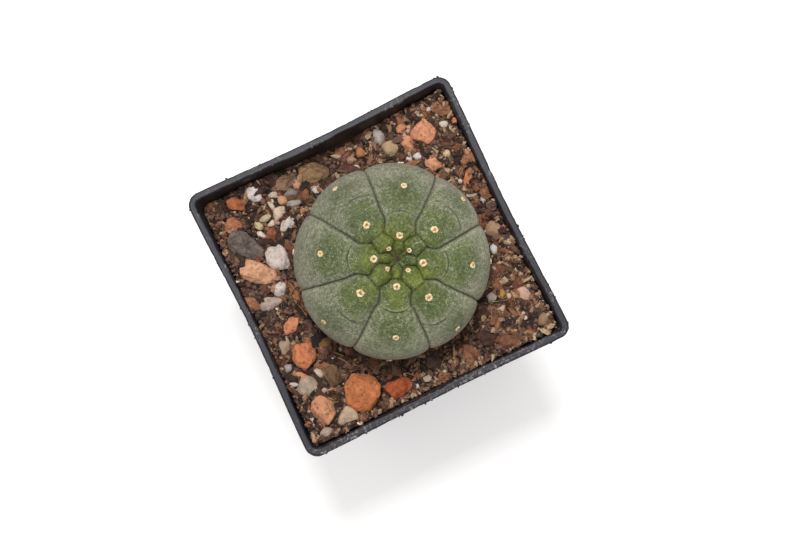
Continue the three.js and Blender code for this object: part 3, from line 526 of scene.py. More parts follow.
# Loose stones and the small grit between them. They come before the crumbs, which leave them clear.
STONES = [  # node, x, y, length, width, turn in degrees, seed, colour
    ("brick_chip_01", -32.0, 13.5, 10.0, 6.5, 322, 12, "#cf9a78"),
    ("brick_chip_02", -29.5, -13.5, 7.5, 7.0, 35, 51, "#c2774f"),
    ("brick_chip_03", -31.0, -29.5, 8.5, 6.5, 110, 47, "#c58a66"),
    ("brick_chip_04", -18.5, -29.0, 10.5, 10.0, 125, 20, "#bf7244"),
    ("brick_chip_05", -10.0, -33.0, 7.0, 5.5, 5, 12, "#a5502a"),
    ("brick_chip_06", -29.0, -4.0, 5.5, 4.0, 35, 15, "#cf8560"),
    ("brick_chip_07", 28.0, 28.5, 6.5, 6.0, 35, 31, "#d28f6c"),
    ("brick_chip_08", 22.5, 27.5, 4.5, 3.5, 100, 9, "#cd8c6a"),
    ("brick_chip_09", 22.5, 32.0, 3.5, 3.0, 15, 2, "#c98b67"),
    ("brick_chip_10", 26.5, 19.0, 5.0, 3.5, 130, 11, "#d0906c"),
    ("brick_chip_11", 33.5, 11.5, 5.0, 3.0, 50, 14, "#c27850"),
    ("brick_chip_12", -28.0, 33.5, 5.5, 4.5, 155, 18, "#a9623c"),
    ("brick_chip_13", -31.5, 28.5, 5.0, 4.0, 175, 21, "#a66b4b"),
    ("pumice_01", -24.0, 14.5, 7.5, 5.5, 95, 30, "#dccbc0"),
    ("pumice_02", -27.5, 6.5, 4.0, 3.5, 35, 10, "#dccdc6"),
    ("pumice_03", -32.0, 4.0, 7.5, 3.5, 175, 13, "#bda698"),
    ("pumice_04", -22.5, 33.5, 5.0, 3.5, 95, 16, "#dccfca"),
    ("pumice_05", 16.0, 33.0, 4.5, 3.5, 65, 19, "#b9aba4"),
    ("pumice_06", -17.5, 22.0, 5.0, 3.0, 15, 22, "#d6c7bb"),
    ("gravel_01", -26.0, -34.0, 6.0, 5.5, 70, 54, "#c3a98c"),
    ("gravel_02", -32.5, -21.5, 6.0, 5.5, 5, 43, "#b09c88"),
    ("gravel_03", -33.5, -8.5, 5.5, 3.5, 45, 25, "#ab937c"),
    ("gravel_04", -18.5, 25.5, 4.5, 3.0, 25, 26, "#cfb9a0"),
    ("gravel_05", 33.0, -24.5, 5.0, 3.0, 115, 27, "#cfa992"),
    ("gravel_06", 33.5, -4.5, 4.5, 4.0, 5, 24, "#b08a6c"),
    ("gravel_07", -1.5, -34.0, 4.0, 2.5, 165, 29, "#bda890"),
    ("gravel_08", 24.5, -21.5, 3.5, 3.0, 35, 30, "#a99a90"),
    ("gravel_09", 17.5, 28.5, 4.5, 4.0, 110, 31, "#b99a76"),
    ("slate_01", -31.0, 22.0, 9.5, 7.5, 135, 48, "#6f6159"),
    ("bark_chip_01", -24.0, 1.5, 11.0, 2.5, 91, 33, "#a06a48"),
    ("bark_chip_02", -4.5, 31.5, 10.5, 5.5, 160, 34, "#8a6b4c"),
    ("bark_chip_03", -14.0, 33.0, 7.5, 4.0, 180, 35, "#866650"),
    ("bark_chip_04", 2.0, -30.5, 7.5, 4.5, 165, 36, "#5a463b"),
    ("bark_chip_05", -24.5, -21.5, 8.0, 5.5, 85, 37, "#6b4f36"),
    ("bark_chip_06", 16.0, -34.0, 5.0, 3.0, 170, 38, "#6a5048"),
    ("bark_chip_07", -23.5, 21.0, 5.5, 3.0, 30, 39, "#8a4f38"),
]
GRIT = [  # x, y, length, width, turn in degrees, colour
    (-17.5, 31.0, 3.0, 2.0, 155, "#c2b09a"), (-16.0, 28.5, 3.0, 2.5, 140, "#cf9a78"),
    (-13.0, 29.5, 3.5, 2.5, 175, "#8c817c"), (-13.5, 26.5, 4.0, 2.0, 165, "#a79c93"),
    (-10.5, 30.5, 2.5, 2.0, 155, "#c79172"), (-19.5, 28.5, 3.0, 1.5, 105, "#cbbaa2"),
    (-22.5, 26.0, 3.0, 2.0, 5, "#c2ab8e"), (-21.5, 24.0, 2.5, 1.5, 15, "#d6c6ad"),
    (-25.0, 25.0, 3.0, 2.0, 120, "#cdb791"), (-25.5, 22.5, 2.5, 1.5, 125, "#e0d4c2"),
    (-6.5, 27.0, 2.0, 1.5, 125, "#d3c9c1"), (-32.5, -18.0, 4.5, 2.0, 140, "#c98e68"),
    (-28.0, -19.5, 3.0, 2.5, 115, "#cdb9a5"), (-35.0, -14.5, 3.0, 2.0, 45, "#a89a96"),
    (-35.5, -19.0, 2.5, 1.5, 145, "#ddd2cb"), (-28.5, -24.0, 2.0, 2.0, 65, "#c3a396"),
    (-22.5, -12.5, 3.5, 2.5, 155, "#8a6338"), (-33.0, -35.0, 3.5, 2.5, 175, "#b09b8c"),
    (25.0, 31.5, 2.0, 1.5, 155, "#d29a74"), (32.0, 33.5, 1.5, 1.5, 155, "#cfc8bf"),
    (34.0, 28.0, 2.5, 2.0, 155, "#e0d2bd"), (31.0, 20.0, 2.0, 2.0, 20, "#d8bd8a"),
    (29.5, 33.0, 2.5, 1.0, 155, "#c0a68c"), (21.0, 23.5, 2.0, 1.5, 155, "#d2c2b8"),
    (23.5, 23.0, 3.0, 2.0, 155, "#d8cabe"), (9.5, 31.0, 3.0, 2.5, 65, "#b57a50"),
    (6.5, 30.5, 3.0, 2.0, 135, "#b08b70"), (6.0, 28.0, 3.5, 1.5, 165, "#d8ccc2"),
    (31.0, 11.5, 1.5, 1.5, 155, "#d8cabc"), (32.5, 6.5, 3.5, 1.5, 165, "#b8aa98"),
    (34.5, 4.0, 3.0, 1.5, 65, "#c3b8bb"), (33.0, -0.5, 2.5, 2.0, 155, "#8a5238"),
    (31.0, -9.5, 3.0, 2.0, 65, "#dcd6d3"), (31.0, -14.0, 2.5, 1.5, 155, "#cfa88a"),
    (27.5, -22.0, 3.0, 1.5, 65, "#b88a44"), (29.0, -23.5, 2.0, 1.5, 85, "#d2b795"),
    (25.5, -25.5, 2.5, 2.0, 5, "#cfae94"), (34.5, -33.5, 4.0, 3.0, 65, "#9a7a5e")]


def in_the_open(count, x_share, y_share, margin, clear):
    """Places on the soil inside the walls, outside the plant and between the stones, drawn from
    two rows of random shares; `clear` keeps them away from the walls and `margin` from the
    plant's foot."""
    half = wall_half(SOIL_LEVEL) - WALL - clear
    x, y = (x_share * 2 - 1) * half, (y_share * 2 - 1) * half
    from_plant = np.hypot(x - PLANT_FOOT[0], y - PLANT_FOOT[1])
    lying = np.array([row[1:6] for row in STONES] + [row[:5] for row in GRIT])
    east, north, turn = x[:, None] - lying[:, 0], y[:, None] - lying[:, 1], np.radians(lying[:, 4])
    along, across = east * np.cos(turn) + north * np.sin(turn), north * np.cos(turn) - east * np.sin(turn)
    from_stones = np.hypot(along / lying[:, 2], across / lying[:, 3]).min(1)  # 0.5 at a stone's edge
    keep = np.flatnonzero((from_plant > margin) & (from_stones > 0.53))[:count]
    return x[keep], y[keep]


def turned(points, turns):
    """Turns each shape in a stack by its own three angles, about X, then Y, then Z."""
    for axis in range(3):
        a, b = [(1, 2), (2, 0), (0, 1)][axis]
        c, s = np.cos(turns[:, axis])[:, None], np.sin(turns[:, axis])[:, None]
        first, second = points[..., a] * c - points[..., b] * s, points[..., a] * s + points[..., b] * c
        points = points.copy()
        points[..., a], points[..., b] = first, second
    return points


PALER_EAST = 0.11  # the crumbs are a little paler on the side at +X
BANK_PAINTED_LIGHT = 0.04  # painted light on the crumbs of the banks, against the walls' shade; per millimetre of bank


def scatter(name, material, count, sizes, flatness, rows, columns, seed, rise=0.25, spread=1.0,
            slender=0.75, jitter=1.0):
    """A piece made of many small lumps that lie on the soil: balls with each point pushed in or
    out at random, stretched, turned and set down at random places."""
    draw = np.random.default_rng(seed)
    x, y = in_the_open(count, draw.random(count * 4), draw.random(count * 4), 24.0,
                       0.2 + sizes[0] * 0.25)
    count = len(x)
    unit, unit_faces = ball(rows, columns)
    size = sizes[0] + (sizes[1] - sizes[0]) * draw.random(count) ** 2.4
    shape = np.stack([size, size * slender * (0.6 + 0.7 * draw.random(count)), size * flatness], -1) / 2
    lumps = unit[None] * shape[:, None] * (1 - jitter / 2 + jitter * draw.random((count, len(unit), 1)))
    turns = np.stack([draw.normal(0, 0.35 * spread, count), draw.normal(0, 0.35 * spread, count),
                      draw.random(count) * 2 * pi], -1)
    lumps = turned(lumps, turns)
    level = soil_surface(x, y) + size * rise * draw.random(count)
    lumps = kept_inside(lumps + np.stack([x, y, level], -1)[:, None])
    # Painted light: crumbs on the banks are drawn paler, against the shade by the walls.
    tint = draw.random(count) + PALER_EAST * x / RIM_HALF + BANK_PAINTED_LIGHT * bank_height(x, y)
    tint = np.repeat(tint, len(unit))
    piece = add_piece(name, lumps.reshape(-1, 3), many(unit_faces, count, len(unit)), material, tint=tint)
    piece.data.shade_flat()


def crumb_material(name, stops, grain_size):
    """A matt material whose colour comes from each lump's own tint, broken up by fine noise."""
    material, shader = new_material(name)
    place = add_node(material, "TexCoord").outputs["Object"]
    tint = add_node(material, "Attribute", attribute_name="tint").outputs["Fac"]
    grain = add_node(material, "TexNoise", {"Vector": place, "Scale": repeats(grain_size),
                                            "Detail": 5.0, "Roughness": 0.7})
    spread = add_node(material, "MapRange", (grain, 0.3, 0.7, -0.22, 0.22))
    shade = add_node(material, "Math", (tint, spread), operation="ADD")
    colour = add_node(material, "ValToRGB", {"Fac": shade}, stops)
    bumps = add_node(material, "Bump", {"Height": grain, "Strength": 0.7, "Distance": 0.2 * MM})
    feed(shader, {"Base Color": colour, "Normal": bumps, "Roughness": 0.92})
    return material


dark_crumb = crumb_material("peat crumbs", [
    (0.0, "#1a110d"), (0.3, "#30201a"), (0.5, "#48352b"), (0.68, "#5f4c43"), (0.84, "#69412c"),
    (1.0, "#8d5e41")], 10 / 19)
bark_crumb = crumb_material("bark fines", [
    (0.0, "#1d130f"), (0.2, "#3f261c"), (0.34, "#693b27"), (0.46, "#59514e"), (0.58, "#734d38"),
    (0.72, "#856245"), (0.86, "#987352"), (1.0, "#b59c80")], 10 / 15)
pale_grit = crumb_material("pale grit", [
    (0.0, "#85705f"), (0.3, "#ab917b"), (0.7, "#c9b49f"), (1.0, "#e2d6ca")], 10 / 16)
brick_grit = crumb_material("brick grit", [(0.0, "#7c4129"), (0.5, "#ab6440"), (1.0, "#cb8f6b")], 10 / 16)
old_bark = crumb_material("old pine bark", [
    (0.0, "#1a110d"), (0.3, "#38241b"), (0.6, "#593828"), (0.85, "#7e5037"), (1.0, "#96694a")], 10 / 9)

scatter("peat_crumbs", dark_crumb, 4600, (0.35, 1.7), 0.85, 3, 6, 21, spread=1.6)
scatter("peat_lumps", dark_crumb, 420, (1.6, 3.6), 0.7, 6, 9, 27, rise=0.12, spread=1.2)
scatter("bark_crumbs", bark_crumb, 4000, (0.4, 2.2), 0.65, 3, 6, 22, rise=0.5, spread=2.0)
scatter("bark_shreds", bark_crumb, 1300, (1.2, 4.4), 0.28, 3, 6, 23, rise=0.3, spread=1.3, slender=0.4)
scatter("bark_flakes", old_bark, 260, (2.6, 7.5), 0.28, 8, 12, 28, rise=0.12, spread=0.6, slender=0.5,
        jitter=0.35)
scatter("pale_grit", pale_grit, 230, (0.5, 1.7), 0.8, 4, 8, 24, rise=0.5, jitter=0.5)
scatter("brick_grit", brick_grit, 120, (0.5, 1.9), 0.8, 4, 8, 25, rise=0.5, jitter=0.5)


def strands(name, material, starts, headings, lengths, widths, bends, lifts, steps, sides):
    """A piece of many thin strands. Each one runs over the soil from its start, its heading
    turning steadily by `bend` in all, and arches up by `lift` times a half wave."""
    t = np.linspace(0, 1, steps)
    heading = headings[:, None] + bends[:, None] * t
    step = lengths[:, None] / (steps - 1)
    x = starts[0][:, None] + np.cumsum(np.cos(heading) * step, 1)
    y = starts[1][:, None] + np.cumsum(np.sin(heading) * step, 1)
    half = wall_half(SOIL_LEVEL) - WALL - 0.6
    x, y = np.clip(x, -half, half), np.clip(y, -half, half)
    z = soil_height(x, y) + 0.9 + lifts[:, None] * np.sin(pi * t) - 0.8 * (2 * t - 1) ** 6
    radius = widths[:, None] / 2 * (1 - 0.7 * np.abs(2 * t - 1) ** 4)
    around = np.arange(sides) / sides * 2 * pi
    across = np.stack([-np.sin(heading), np.cos(heading), 0 * heading], -1)[:, :, None]
    ring = across * np.cos(around)[:, None] + np.array([0, 0, 1.0]) * np.sin(around)[:, None]
    rings = np.stack([x, y, z], -1)[:, :, None] + ring * radius[:, :, None, None]
    tips = np.stack([x[:, [0, -1]], y[:, [0, -1]], z[:, [0, -1]]], -1)
    points = kept_inside(np.concatenate([rings.reshape(len(x), -1, 3), tips], 1))
    _, unit_faces = loft(np.zeros((steps, sides, 3)), [0, 0, 0], [0, 0, 0])
    tint = np.repeat(hashed(np.arange(len(x)), 7.0), points.shape[1])
    faces = many(unit_faces, len(x), points.shape[1])
    piece = add_piece(name, points.reshape(-1, 3), faces, material, tint=tint)


FIBRES = 620
FIBRE_DRAWS = 2600  # places tried; the first ones in the open are used
coir = crumb_material("coir and dry roots", [
    (0.0, "#33231a"), (0.5, "#644731"), (0.8, "#8a6843"), (1.0, "#b08e5e")], 10 / 7)
draw = np.random.default_rng(31)
x, y = in_the_open(FIBRES, draw.random(FIBRE_DRAWS), draw.random(FIBRE_DRAWS), 25.0, 3.0)
headings = draw.random(len(x)) * 2 * pi
lengths = 2.5 + 7 * draw.random(len(x)) ** 2
widths = 0.12 + 0.22 * draw.random(len(x)) ** 2
bends = draw.normal(0, 1.1, len(x))
lifts = 0.9 * draw.random(len(x)) ** 2
strands("coir_fibres", coir, (x, y), headings, lengths, widths, bends, lifts, 10, 4)

# ------------------------------------------------------------------------------ stones
# Loose stones on the soil: broken brick, pumice, river gravel, slate and bark chips. Each one is
# a ball that flat breaks have cut, worn at the edges, and lies half sunk in the soil.

STONE_FACES = 10
GOLDEN_ANGLE = 2.39996
FINE_STONE = 6.0  # length from which a stone gets a finer mesh
FULL_ROUGHNESS = 5.5  # width from which a stone has the whole roughness of its kind
MEAN_REACH = 0.82  # of a chipped stone, as a share of the ball it is cut from
MOST_TILT = 0.16
BLOTCH = 10 / 7  # sizes of the patterns in the stones
GRAIN = 0.2
CRACK_SPACING = 10 / 3
PATCH = 10 / 14
KINDS = {  # flattening, sharpness of the edges, nearest and furthest break, rise, roughness
    "brick_chip": (0.75, 24, 0.56, 0.86, 0.2, 0.42),
    "pumice": (0.8, 8, 0.72, 0.96, 0.25, 0.42),
    "gravel": (0.7, 14, 0.64, 0.92, 0.2, 0.18),
    "slate": (0.5, 20, 0.6, 0.9, 0.15, 0.7),
    "bark_chip": (0.42, 14, 0.62, 0.92, 0.1, 0.5),
}


def stone_reach(direction, seed, sharp, near, far):
    """Reach of a chipped stone in each direction: the smooth minimum, of power `sharp`, of the
    unit ball and the flat breaks, which face ways spread evenly over the ball."""
    total = np.ones(len(direction))
    for face in range(STONE_FACES):
        up = 1 - 2 * (face + 0.5) / STONE_FACES
        around = face * GOLDEN_ANGLE + seed + 0.9 * hashed(seed, face)
        level = (1 - up * up) ** 0.5
        facing = direction @ [level * cos(around), level * sin(around), up]
        cut = near + (far - near) * hashed(seed + 40, face)
        total = total + np.maximum(0, facing / cut) ** sharp
    return total ** (-1 / sharp)


def solid_noise(points, cell, seed):
    """Noise from -1 to 1 in space: the mean of plane noise on three crossed planes."""
    x, y, z = points.T
    planes = [plane_noise(x + z * 0.31, y, cell, seed), plane_noise(y + x * 0.27, z, cell, seed + 3),
              plane_noise(z + y * 0.35, x, cell, seed + 5)]
    return sum(planes) / 1.8


def stone_material(name, pits, pit_size, cracks, spread, lift, bump, streak=1.0):
    """A dull mineral or bark surface. The stone's own colour, times `lift` more or less `spread`,
    is broken up by blotches and fine grains, and darkened by `pits` and `cracks`: painted shade in
    its pits and cracks. Its pattern follows the stone's own frame in millimetres, and `streak`
    stretches it along the piece."""
    material, shader = new_material(name)
    local = add_node(material, "Attribute", attribute_name="local").outputs["Vector"]
    own = add_node(material, "Attribute", attribute_name="tone").outputs["Color"]
    place = add_node(material, "Mapping", {"Vector": local, "Scale": (1 / streak, 1.0, 1.0)})
    blotch = add_node(material, "TexNoise", {"Vector": place, "Scale": 1 / BLOTCH, "Detail": 4.0,
                                             "Roughness": 0.6})
    grain = add_node(material, "TexNoise", {"Vector": place, "Scale": 1 / GRAIN, "Detail": 5.0,
                                            "Roughness": 0.75})
    bent = add_node(material, "VectorMath", (grain.outputs["Color"], (1.5,) * 3, place),
                    operation="MULTIPLY_ADD")
    pores = add_node(material, "TexVoronoi", {"Vector": bent, "Scale": 1 / pit_size})
    split = add_node(material, "TexVoronoi", {"Vector": bent, "Scale": 1 / CRACK_SPACING},
                     feature="DISTANCE_TO_EDGE")
    # Painted shade in the cracks.
    painted_crack_shade = add_node(material, "MapRange", (split, 0.01, 0.05, cracks, 0.0))
    shade = add_node(material, "Math", (blotch, grain), operation="ADD")
    value = add_node(material, "MapRange", (shade, 0.8, 1.2, lift - spread, lift + spread))
    patch = add_node(material, "TexNoise", {"Vector": place, "Scale": 1 / PATCH, "Detail": 2.0})
    wide = add_node(material, "Math", (patch, -2.4, 1.28), operation="MULTIPLY_ADD")
    wide = add_node(material, "Math", (pores, wide), operation="ADD")
    # Painted shade in the pits and cracks; the same mask sinks them in the bump.
    shaded_pits_and_cracks = add_node(material, "MapRange", (wide, 0.05, 0.4, 1 - pits, 1.0))
    shaded_pits_and_cracks = add_node(material, "Math", (shaded_pits_and_cracks, painted_crack_shade), operation="SUBTRACT", use_clamp=True)
    both = add_node(material, "Math", (value, shaded_pits_and_cracks), operation="MULTIPLY")
    colour = add_node(material, "VectorMath", {0: own, "Scale": both}, operation="SCALE")
    relief = add_node(material, "Math", (grain, shaded_pits_and_cracks), operation="MULTIPLY")
    bumps = add_node(material, "Bump", {"Height": relief, "Strength": bump, "Distance": 0.45 * MM})
    feed(shader, {"Base Color": colour, "Normal": bumps, "Roughness": 0.88})
    return material


finishes = {
    "brick_chip": stone_material("broken fired brick", 0.55, 4 / 3, 0.0, 0.34, 1.27, 1.0),
    "pumice": stone_material("washed pumice", 0.42, 10 / 7, 0.0, 0.26, 1.08, 1.0),
    "gravel": stone_material("river gravel", 0.25, 10 / 13, 0.0, 0.28, 1.02, 0.8),
    "slate": stone_material("weathered slate", 0.45, 1.25, 0.3, 0.6, 1.12, 1.0, streak=1.6),
    "bark_chip": stone_material("pine bark", 0.5, 10 / 9, 0.35, 0.6, 1.2, 1.0, streak=2.5),
}


def laid_stone(direction, x, y, length, width, turn, seed, kind):
    """A stone's points where it lies, and the same points in its own frame."""
    flat, sharp, near, far, rise, rough = kind
    half = np.array([length, width, width * flat]) / 2
    local = direction * (stone_reach(direction, seed, sharp, near, far) / MEAN_REACH)[:, None] * half
    bump = solid_noise(local, 1.9, seed) + 0.5 * solid_noise(local, 0.8, seed)
    bump = bump + 0.25 * solid_noise(local, 0.4, seed)
    rough = rough * min(1, (width / FULL_ROUGHNESS) ** 1.3)
    local = local * (1 + rough * bump / np.linalg.norm(local, axis=1))[:, None]
    tilt = [MOST_TILT * (2 * hashed(seed, number) - 1) for number in (71, 72)]
    laid = turned(local[None], np.array([[tilt[0], tilt[1], radians(turn)]]))[0]
    return laid + [x, y, soil_height(np.float64(x), np.float64(y)) + rise * width], local


for node, x, y, length, width, turn, seed, colour in STONES:
    kind = node.rsplit("_", 1)[0]
    direction, faces = ball(34, 48) if length > FINE_STONE else ball(24, 34)
    laid, local = laid_stone(direction, x, y, length, width, turn, seed, KINDS[kind])
    tone = np.tile(linear(colour), (len(laid), 1))
    stone = add_piece("fine_" + node, laid, faces, finishes[kind], local=local, tone=tone)
    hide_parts(node)

# Small grit between the stones: chips of the same rocks, one to four millimetres long.
GRIT_KIND = (0.9, 14, 0.62, 0.92, 0.45, 0.05)  # in the order of the rows of KINDS
direction, chip_faces = ball(14, 20)
chips = [laid_stone(direction, x, y, length, width, turn, number, GRIT_KIND)
         for number, (x, y, length, width, turn, colour) in enumerate(GRIT)]
laid, local = np.array(chips).transpose(1, 0, 2, 3)
laid[..., 2] += np.array([bank_height(x, y) for x, y, *_ in GRIT])[:, None]
laid, local = laid.reshape(-1, 3), local.reshape(-1, 3)
tone = np.repeat([linear(row[-1]) for row in GRIT], len(direction), axis=0)
grit = add_piece("loose_grit", laid, many(chip_faces, len(GRIT), len(direction)), finishes["gravel"],
                 local=local, tone=tone)

# ------------------------------------------------------------------------------ cactus
# One living body with eight broad ribs. Its skin is thick, matt and grey-green, with fine pale
# dots; the youngest tubercles, round the sunken crown, are fresh green and meet in narrow furrows.
# Lower down, only the furrows between the ribs and a faint arc across each rib are left.

BODY_RADIUS = 26.2
BODY_RISE = 19.5
BODY_DROP = 21.0
WIDEST_ABOVE_SOIL = 11.0
CROWN_DIP = 1.6
CROWN_DIP_RADIUS = 5.0
CROWN_SHIFT = np.array([0.3, 0.6])
RIBS = 8
FIRST_RIB = radians(-30)
ROOT_TOP_RADIUS = 7.0
ROOT_TIP_RADIUS = 1.8
ROOT_CROWN_DEPTH = 9.0
ROOT_LENGTH = 27.0
# Angle from the crown, in degrees, at which each whorl of tubercles has its lower edge.
WHORL_ANGLES = np.array([5.5, 10.7, 18.6, 29.5, 47.6, 66, 86, 104, 121, 138])
LAST_WHORL = len(WHORL_ANGLES) - 1
WHORL_PITCH = (3.6, 7.5)  # millimetres of skin between two whorls, in the crown and lower down
# How far each furrow lies from an even spacing, low down, in ribs.
FURROW_DRIFT = np.array([0.1, -0.01, -0.02, -0.06, -0.015, 0.04, 0.105, 0.035])
AREOLE_RADIUS = 1.1
AREOLE_WHORLS = 8
AREOLE_SHIFTS = [0.05, -0.4, -0.5, -0.15, 0.05, 0.05, 0.05, 0.05]  # down the rib, in whorls
AREOLE_SIZES = [0, 0.68, 1.0, 1.05, 0.88, 0.78, 0.78, 0.78]  # as shares of the radius


def whorl_angle(k):
    """Angle from the crown at a whorl coordinate, in degrees, straight between the whorls."""
    return np.interp(k, np.arange(-1, LAST_WHORL + 1), np.concatenate([[0], WHORL_ANGLES]))


def body_outline(degrees):
    """Smooth outline of the body: r = R sin u, and a height that is nearly an ellipse's above the
    widest level, an ellipse's below it, less a dip at the crown."""
    u = np.radians(degrees)
    r = BODY_RADIUS * np.sin(u)
    upper = BODY_RISE * np.maximum(np.cos(u), 0) ** 0.92
    rise = np.where(np.cos(u) > 0, upper, BODY_DROP * np.cos(u))
    dip = np.where(degrees < 90, CROWN_DIP * np.exp(-(r / CROWN_DIP_RADIUS) ** 2), 0)
    return r, WIDEST_ABOVE_SOIL + rise - dip


def furrow(j, k):
    """Place of the furrow after rib j, in ribs: it swings between neighbouring tubercles as a
    zigzag over the whorls, strongly near the crown and hardly at all lower down."""
    zigzag = 1 - 2 * np.abs(k - 2 * np.round(k / 2))
    swing = 0.37 * (1 - smooth_step(1.8, 3.4, k)) + 0.16 * (1 - smooth_step(0, 1, k))
    drift = FURROW_DRIFT[j % RIBS] * smooth_step(2, 5, k)
    return j + 0.5 + np.where(j % 2 == 0, 0.5, -0.5) * swing * zigzag + drift


def arch(k, s):
    """How far the creases arch towards the crown at their ends, in whorls: as (2s - 1)^2, and the
    other way inside the crown."""
    return (0.3 * smooth_step(2, 3, k) - 0.1) * (2 * s - 1) ** 2


def skin_relief(j, s, k, r):
    """Height of the skin over the smooth outline: a bulge across each rib, less a narrow slit at
    its furrows, and a step down at the lower edge of each tubercle. Also, from 0 to 1, painted shade
    along a furrow's and a step's line, bloom and painted highlight at a tubercle's margin, and
    nearness to its areole."""
    # The bulge of the rib, and the slit along its furrows.
    width = (furrow(j, k) - furrow(j - 1, k)) * 2 * pi / RIBS * r
    to_furrow = np.minimum(s, 1 - s) * width
    full = 0.06 + 0.035 * (1 - smooth_step(2, 4, k)) + 0.1 * (1 - smooth_step(0.6, 1.6, k))
    bulge = (full - 0.03 * smooth_step(4, 6, k)) * width * (1 - np.abs(2 * s - 1) ** 2.1)
    deep = 0.55 + 0.3 * smooth_step(2, 4, k) - 0.32 * smooth_step(4.5, 6.5, k)
    narrow = 0.17 + 0.1 * smooth_step(1, 5, k)
    slit = deep * (0.4 * np.exp(-(to_furrow / narrow) ** 2) + np.exp(-to_furrow / 0.9))

    # The creases, every second whorl of a rib: whole at the crown, and short arcs lower down.
    parity = np.where(j % 2 == 0, 1, 0)
    arched = k + arch(k, s)
    nearest = 2 * np.round((arched - parity) / 2) + parity
    to_crease = (arched - nearest) * np.where(nearest < 3, *WHORL_PITCH)
    depth = 0.75 * (1 - smooth_step(2, 6.5, nearest)) * smooth_step(0.0, 0.2, np.minimum(s, 1 - s))
    broken = np.exp(-((s - 0.3 - 0.4 * np.round(hashed(j, nearest))) / 0.22) ** 2)
    depth = depth * np.select([nearest > 3, nearest > 2], [0.15 + 0.85 * broken, 0.75 + 0.25 * broken], 1)
    crease = 0.45 * depth * np.exp(-(to_crease / 0.2) ** 2)
    step = depth * smooth_step(0.35, -0.1, to_crease) * np.exp(np.minimum(to_crease, 0) / 2.0)

    # Painted shade along each line, bloom and painted highlight at a margin, and nearness to an areole.
    fade = smooth_step(-0.9, 0.3, k) * (1 - smooth_step(7.5, 9, k))
    dark = 0.5 + 0.5 * smooth_step(1.0, 3, k)
    # Painted shade: a dark line in the furrow's slit, and a soft shaded band beside it.
    line = 0.7 * np.exp(-(to_furrow / 0.12) ** 2) + 0.12 * np.exp(-to_furrow / 0.4)
    line = line + 0.16 * np.exp(-to_furrow / 0.9)
    furrow_shade = dark * line * fade
    # Painted shade in each crease, along its step.
    thick = np.select([nearest > 3, nearest > 2], [0.36, 0.28], 0.26)
    strong = np.select([nearest < 3, nearest < 4], [0.8, 2.3 * depth], 3.4 * depth)
    crease_shade = np.exp(-((to_crease - 0.1) / thick) ** 2) * strong * fade
    # The margin share: bloom on each tubercle's margins, and painted highlight on the shoulder beside each
    # furrow and on the lit edge of each step.
    margin = 0.5 * np.exp(-np.minimum(to_furrow, np.abs(to_crease) + 0.8) / 1.5)
    margin = margin + 0.5 * np.exp(-((to_furrow - 0.75) / 0.35) ** 2)
    margin = margin + 0.9 * depth * np.exp(-((to_crease + 0.6) / 0.35) ** 2) * smooth_step(2, 3, nearest)
    margin = margin * smooth_step(0.5, 3, k)
    owner = 2 * np.round((arched - 1 + parity) / 2) + 1 - parity
    areole = owner + np.interp(owner, np.arange(AREOLE_WHORLS), AREOLE_SHIFTS)
    areole = areole - 0.2 * smooth_step(2, 4, owner)
    down = (k - areole) * np.interp(owner, [1, 2, 3, 4], [3.4, 3.6, 5, 8.3])
    from_areole = np.hypot(down, (s - 0.5) * width)
    fresh = np.exp(-(from_areole / 5.0) ** 2) * (1 - smooth_step(4.5, 6, k))
    return fade * (bulge - slit - crease + step), furrow_shade, crease_shade, margin, fresh


def skin(j, s, k):
    """Points of the skin in the plant's own frame, its soil line at z = 0, with the four shares from
    skin_relief: painted shade along the furrows and the steps, bloom and painted highlight at the
    margins, and nearness to an areole. s runs across rib j from 0 to 1, and k down it."""
    degrees = whorl_angle(k)
    r, z = body_outline(degrees)
    next_r, next_z = body_outline(degrees + 0.5)
    along = np.hypot(next_r - r, next_z - z)
    relief, *nearness = skin_relief(j, s, k, r)
    angle = FIRST_RIB + (furrow(j - 1, k) * (1 - s) + furrow(j, k) * s) * 2 * pi / RIBS
    out = r - (next_z - z) / along * relief
    shift = 1 - smooth_step(0, 2.5, k)
    points = np.stack([out * np.cos(angle) + CROWN_SHIFT[0] * shift,
                       out * np.sin(angle) + CROWN_SHIFT[1] * shift,
                       z + (next_r - r) / along * relief], -1)
    return points, *nearness


def planted(points):
    """Leans the plant's own frame over and sets it on the soil."""
    axis = (-sin(LEAN_TOWARDS), cos(LEAN_TOWARDS), 0)
    lean = np.array(Matrix.Rotation(PLANT_LEAN, 3, axis))
    return points @ lean.T + [*PLANT_FOOT, SOIL_LEVEL]


# The skin: columns crowd towards the furrows, and rows towards the creases.
ACROSS = 46
ROW_STEPS = 22
s_steps = np.linspace(0, 1, ACROSS, endpoint=False)
s_steps = s_steps - 0.135 * np.sin(2 * pi * s_steps)
k_steps = np.arange(-0.96, LAST_WHORL, 1 / ROW_STEPS)
k_steps = k_steps - 0.12 * np.sin(2 * pi * k_steps)
k_grid, j_grid, s_grid = np.meshgrid(k_steps, np.arange(RIBS), s_steps, indexing="ij")
k_grid = k_grid - arch(k_grid, s_grid)
body, furrow_shade, crease_shade, margin, fresh = (
    part.reshape(len(k_steps), RIBS * ACROSS, *part.shape[3:]) for part in skin(j_grid, s_grid, k_grid))
rows = len(k_steps)
underside, depth = body_outline(whorl_angle(LAST_WHORL))
root_levels = [  # radius, level
    (underside * 0.55 + ROOT_TOP_RADIUS * 0.45, depth - 1.2),
    (ROOT_TOP_RADIUS, -ROOT_CROWN_DEPTH),
    (ROOT_TOP_RADIUS * 0.4 + ROOT_TIP_RADIUS * 0.6, -(ROOT_CROWN_DEPTH * 0.55 + ROOT_LENGTH * 0.45)),
    (ROOT_TIP_RADIUS, -ROOT_LENGTH),
]
flat = body[-1, :, :2] / np.linalg.norm(body[-1, :, :2], axis=1, keepdims=True)
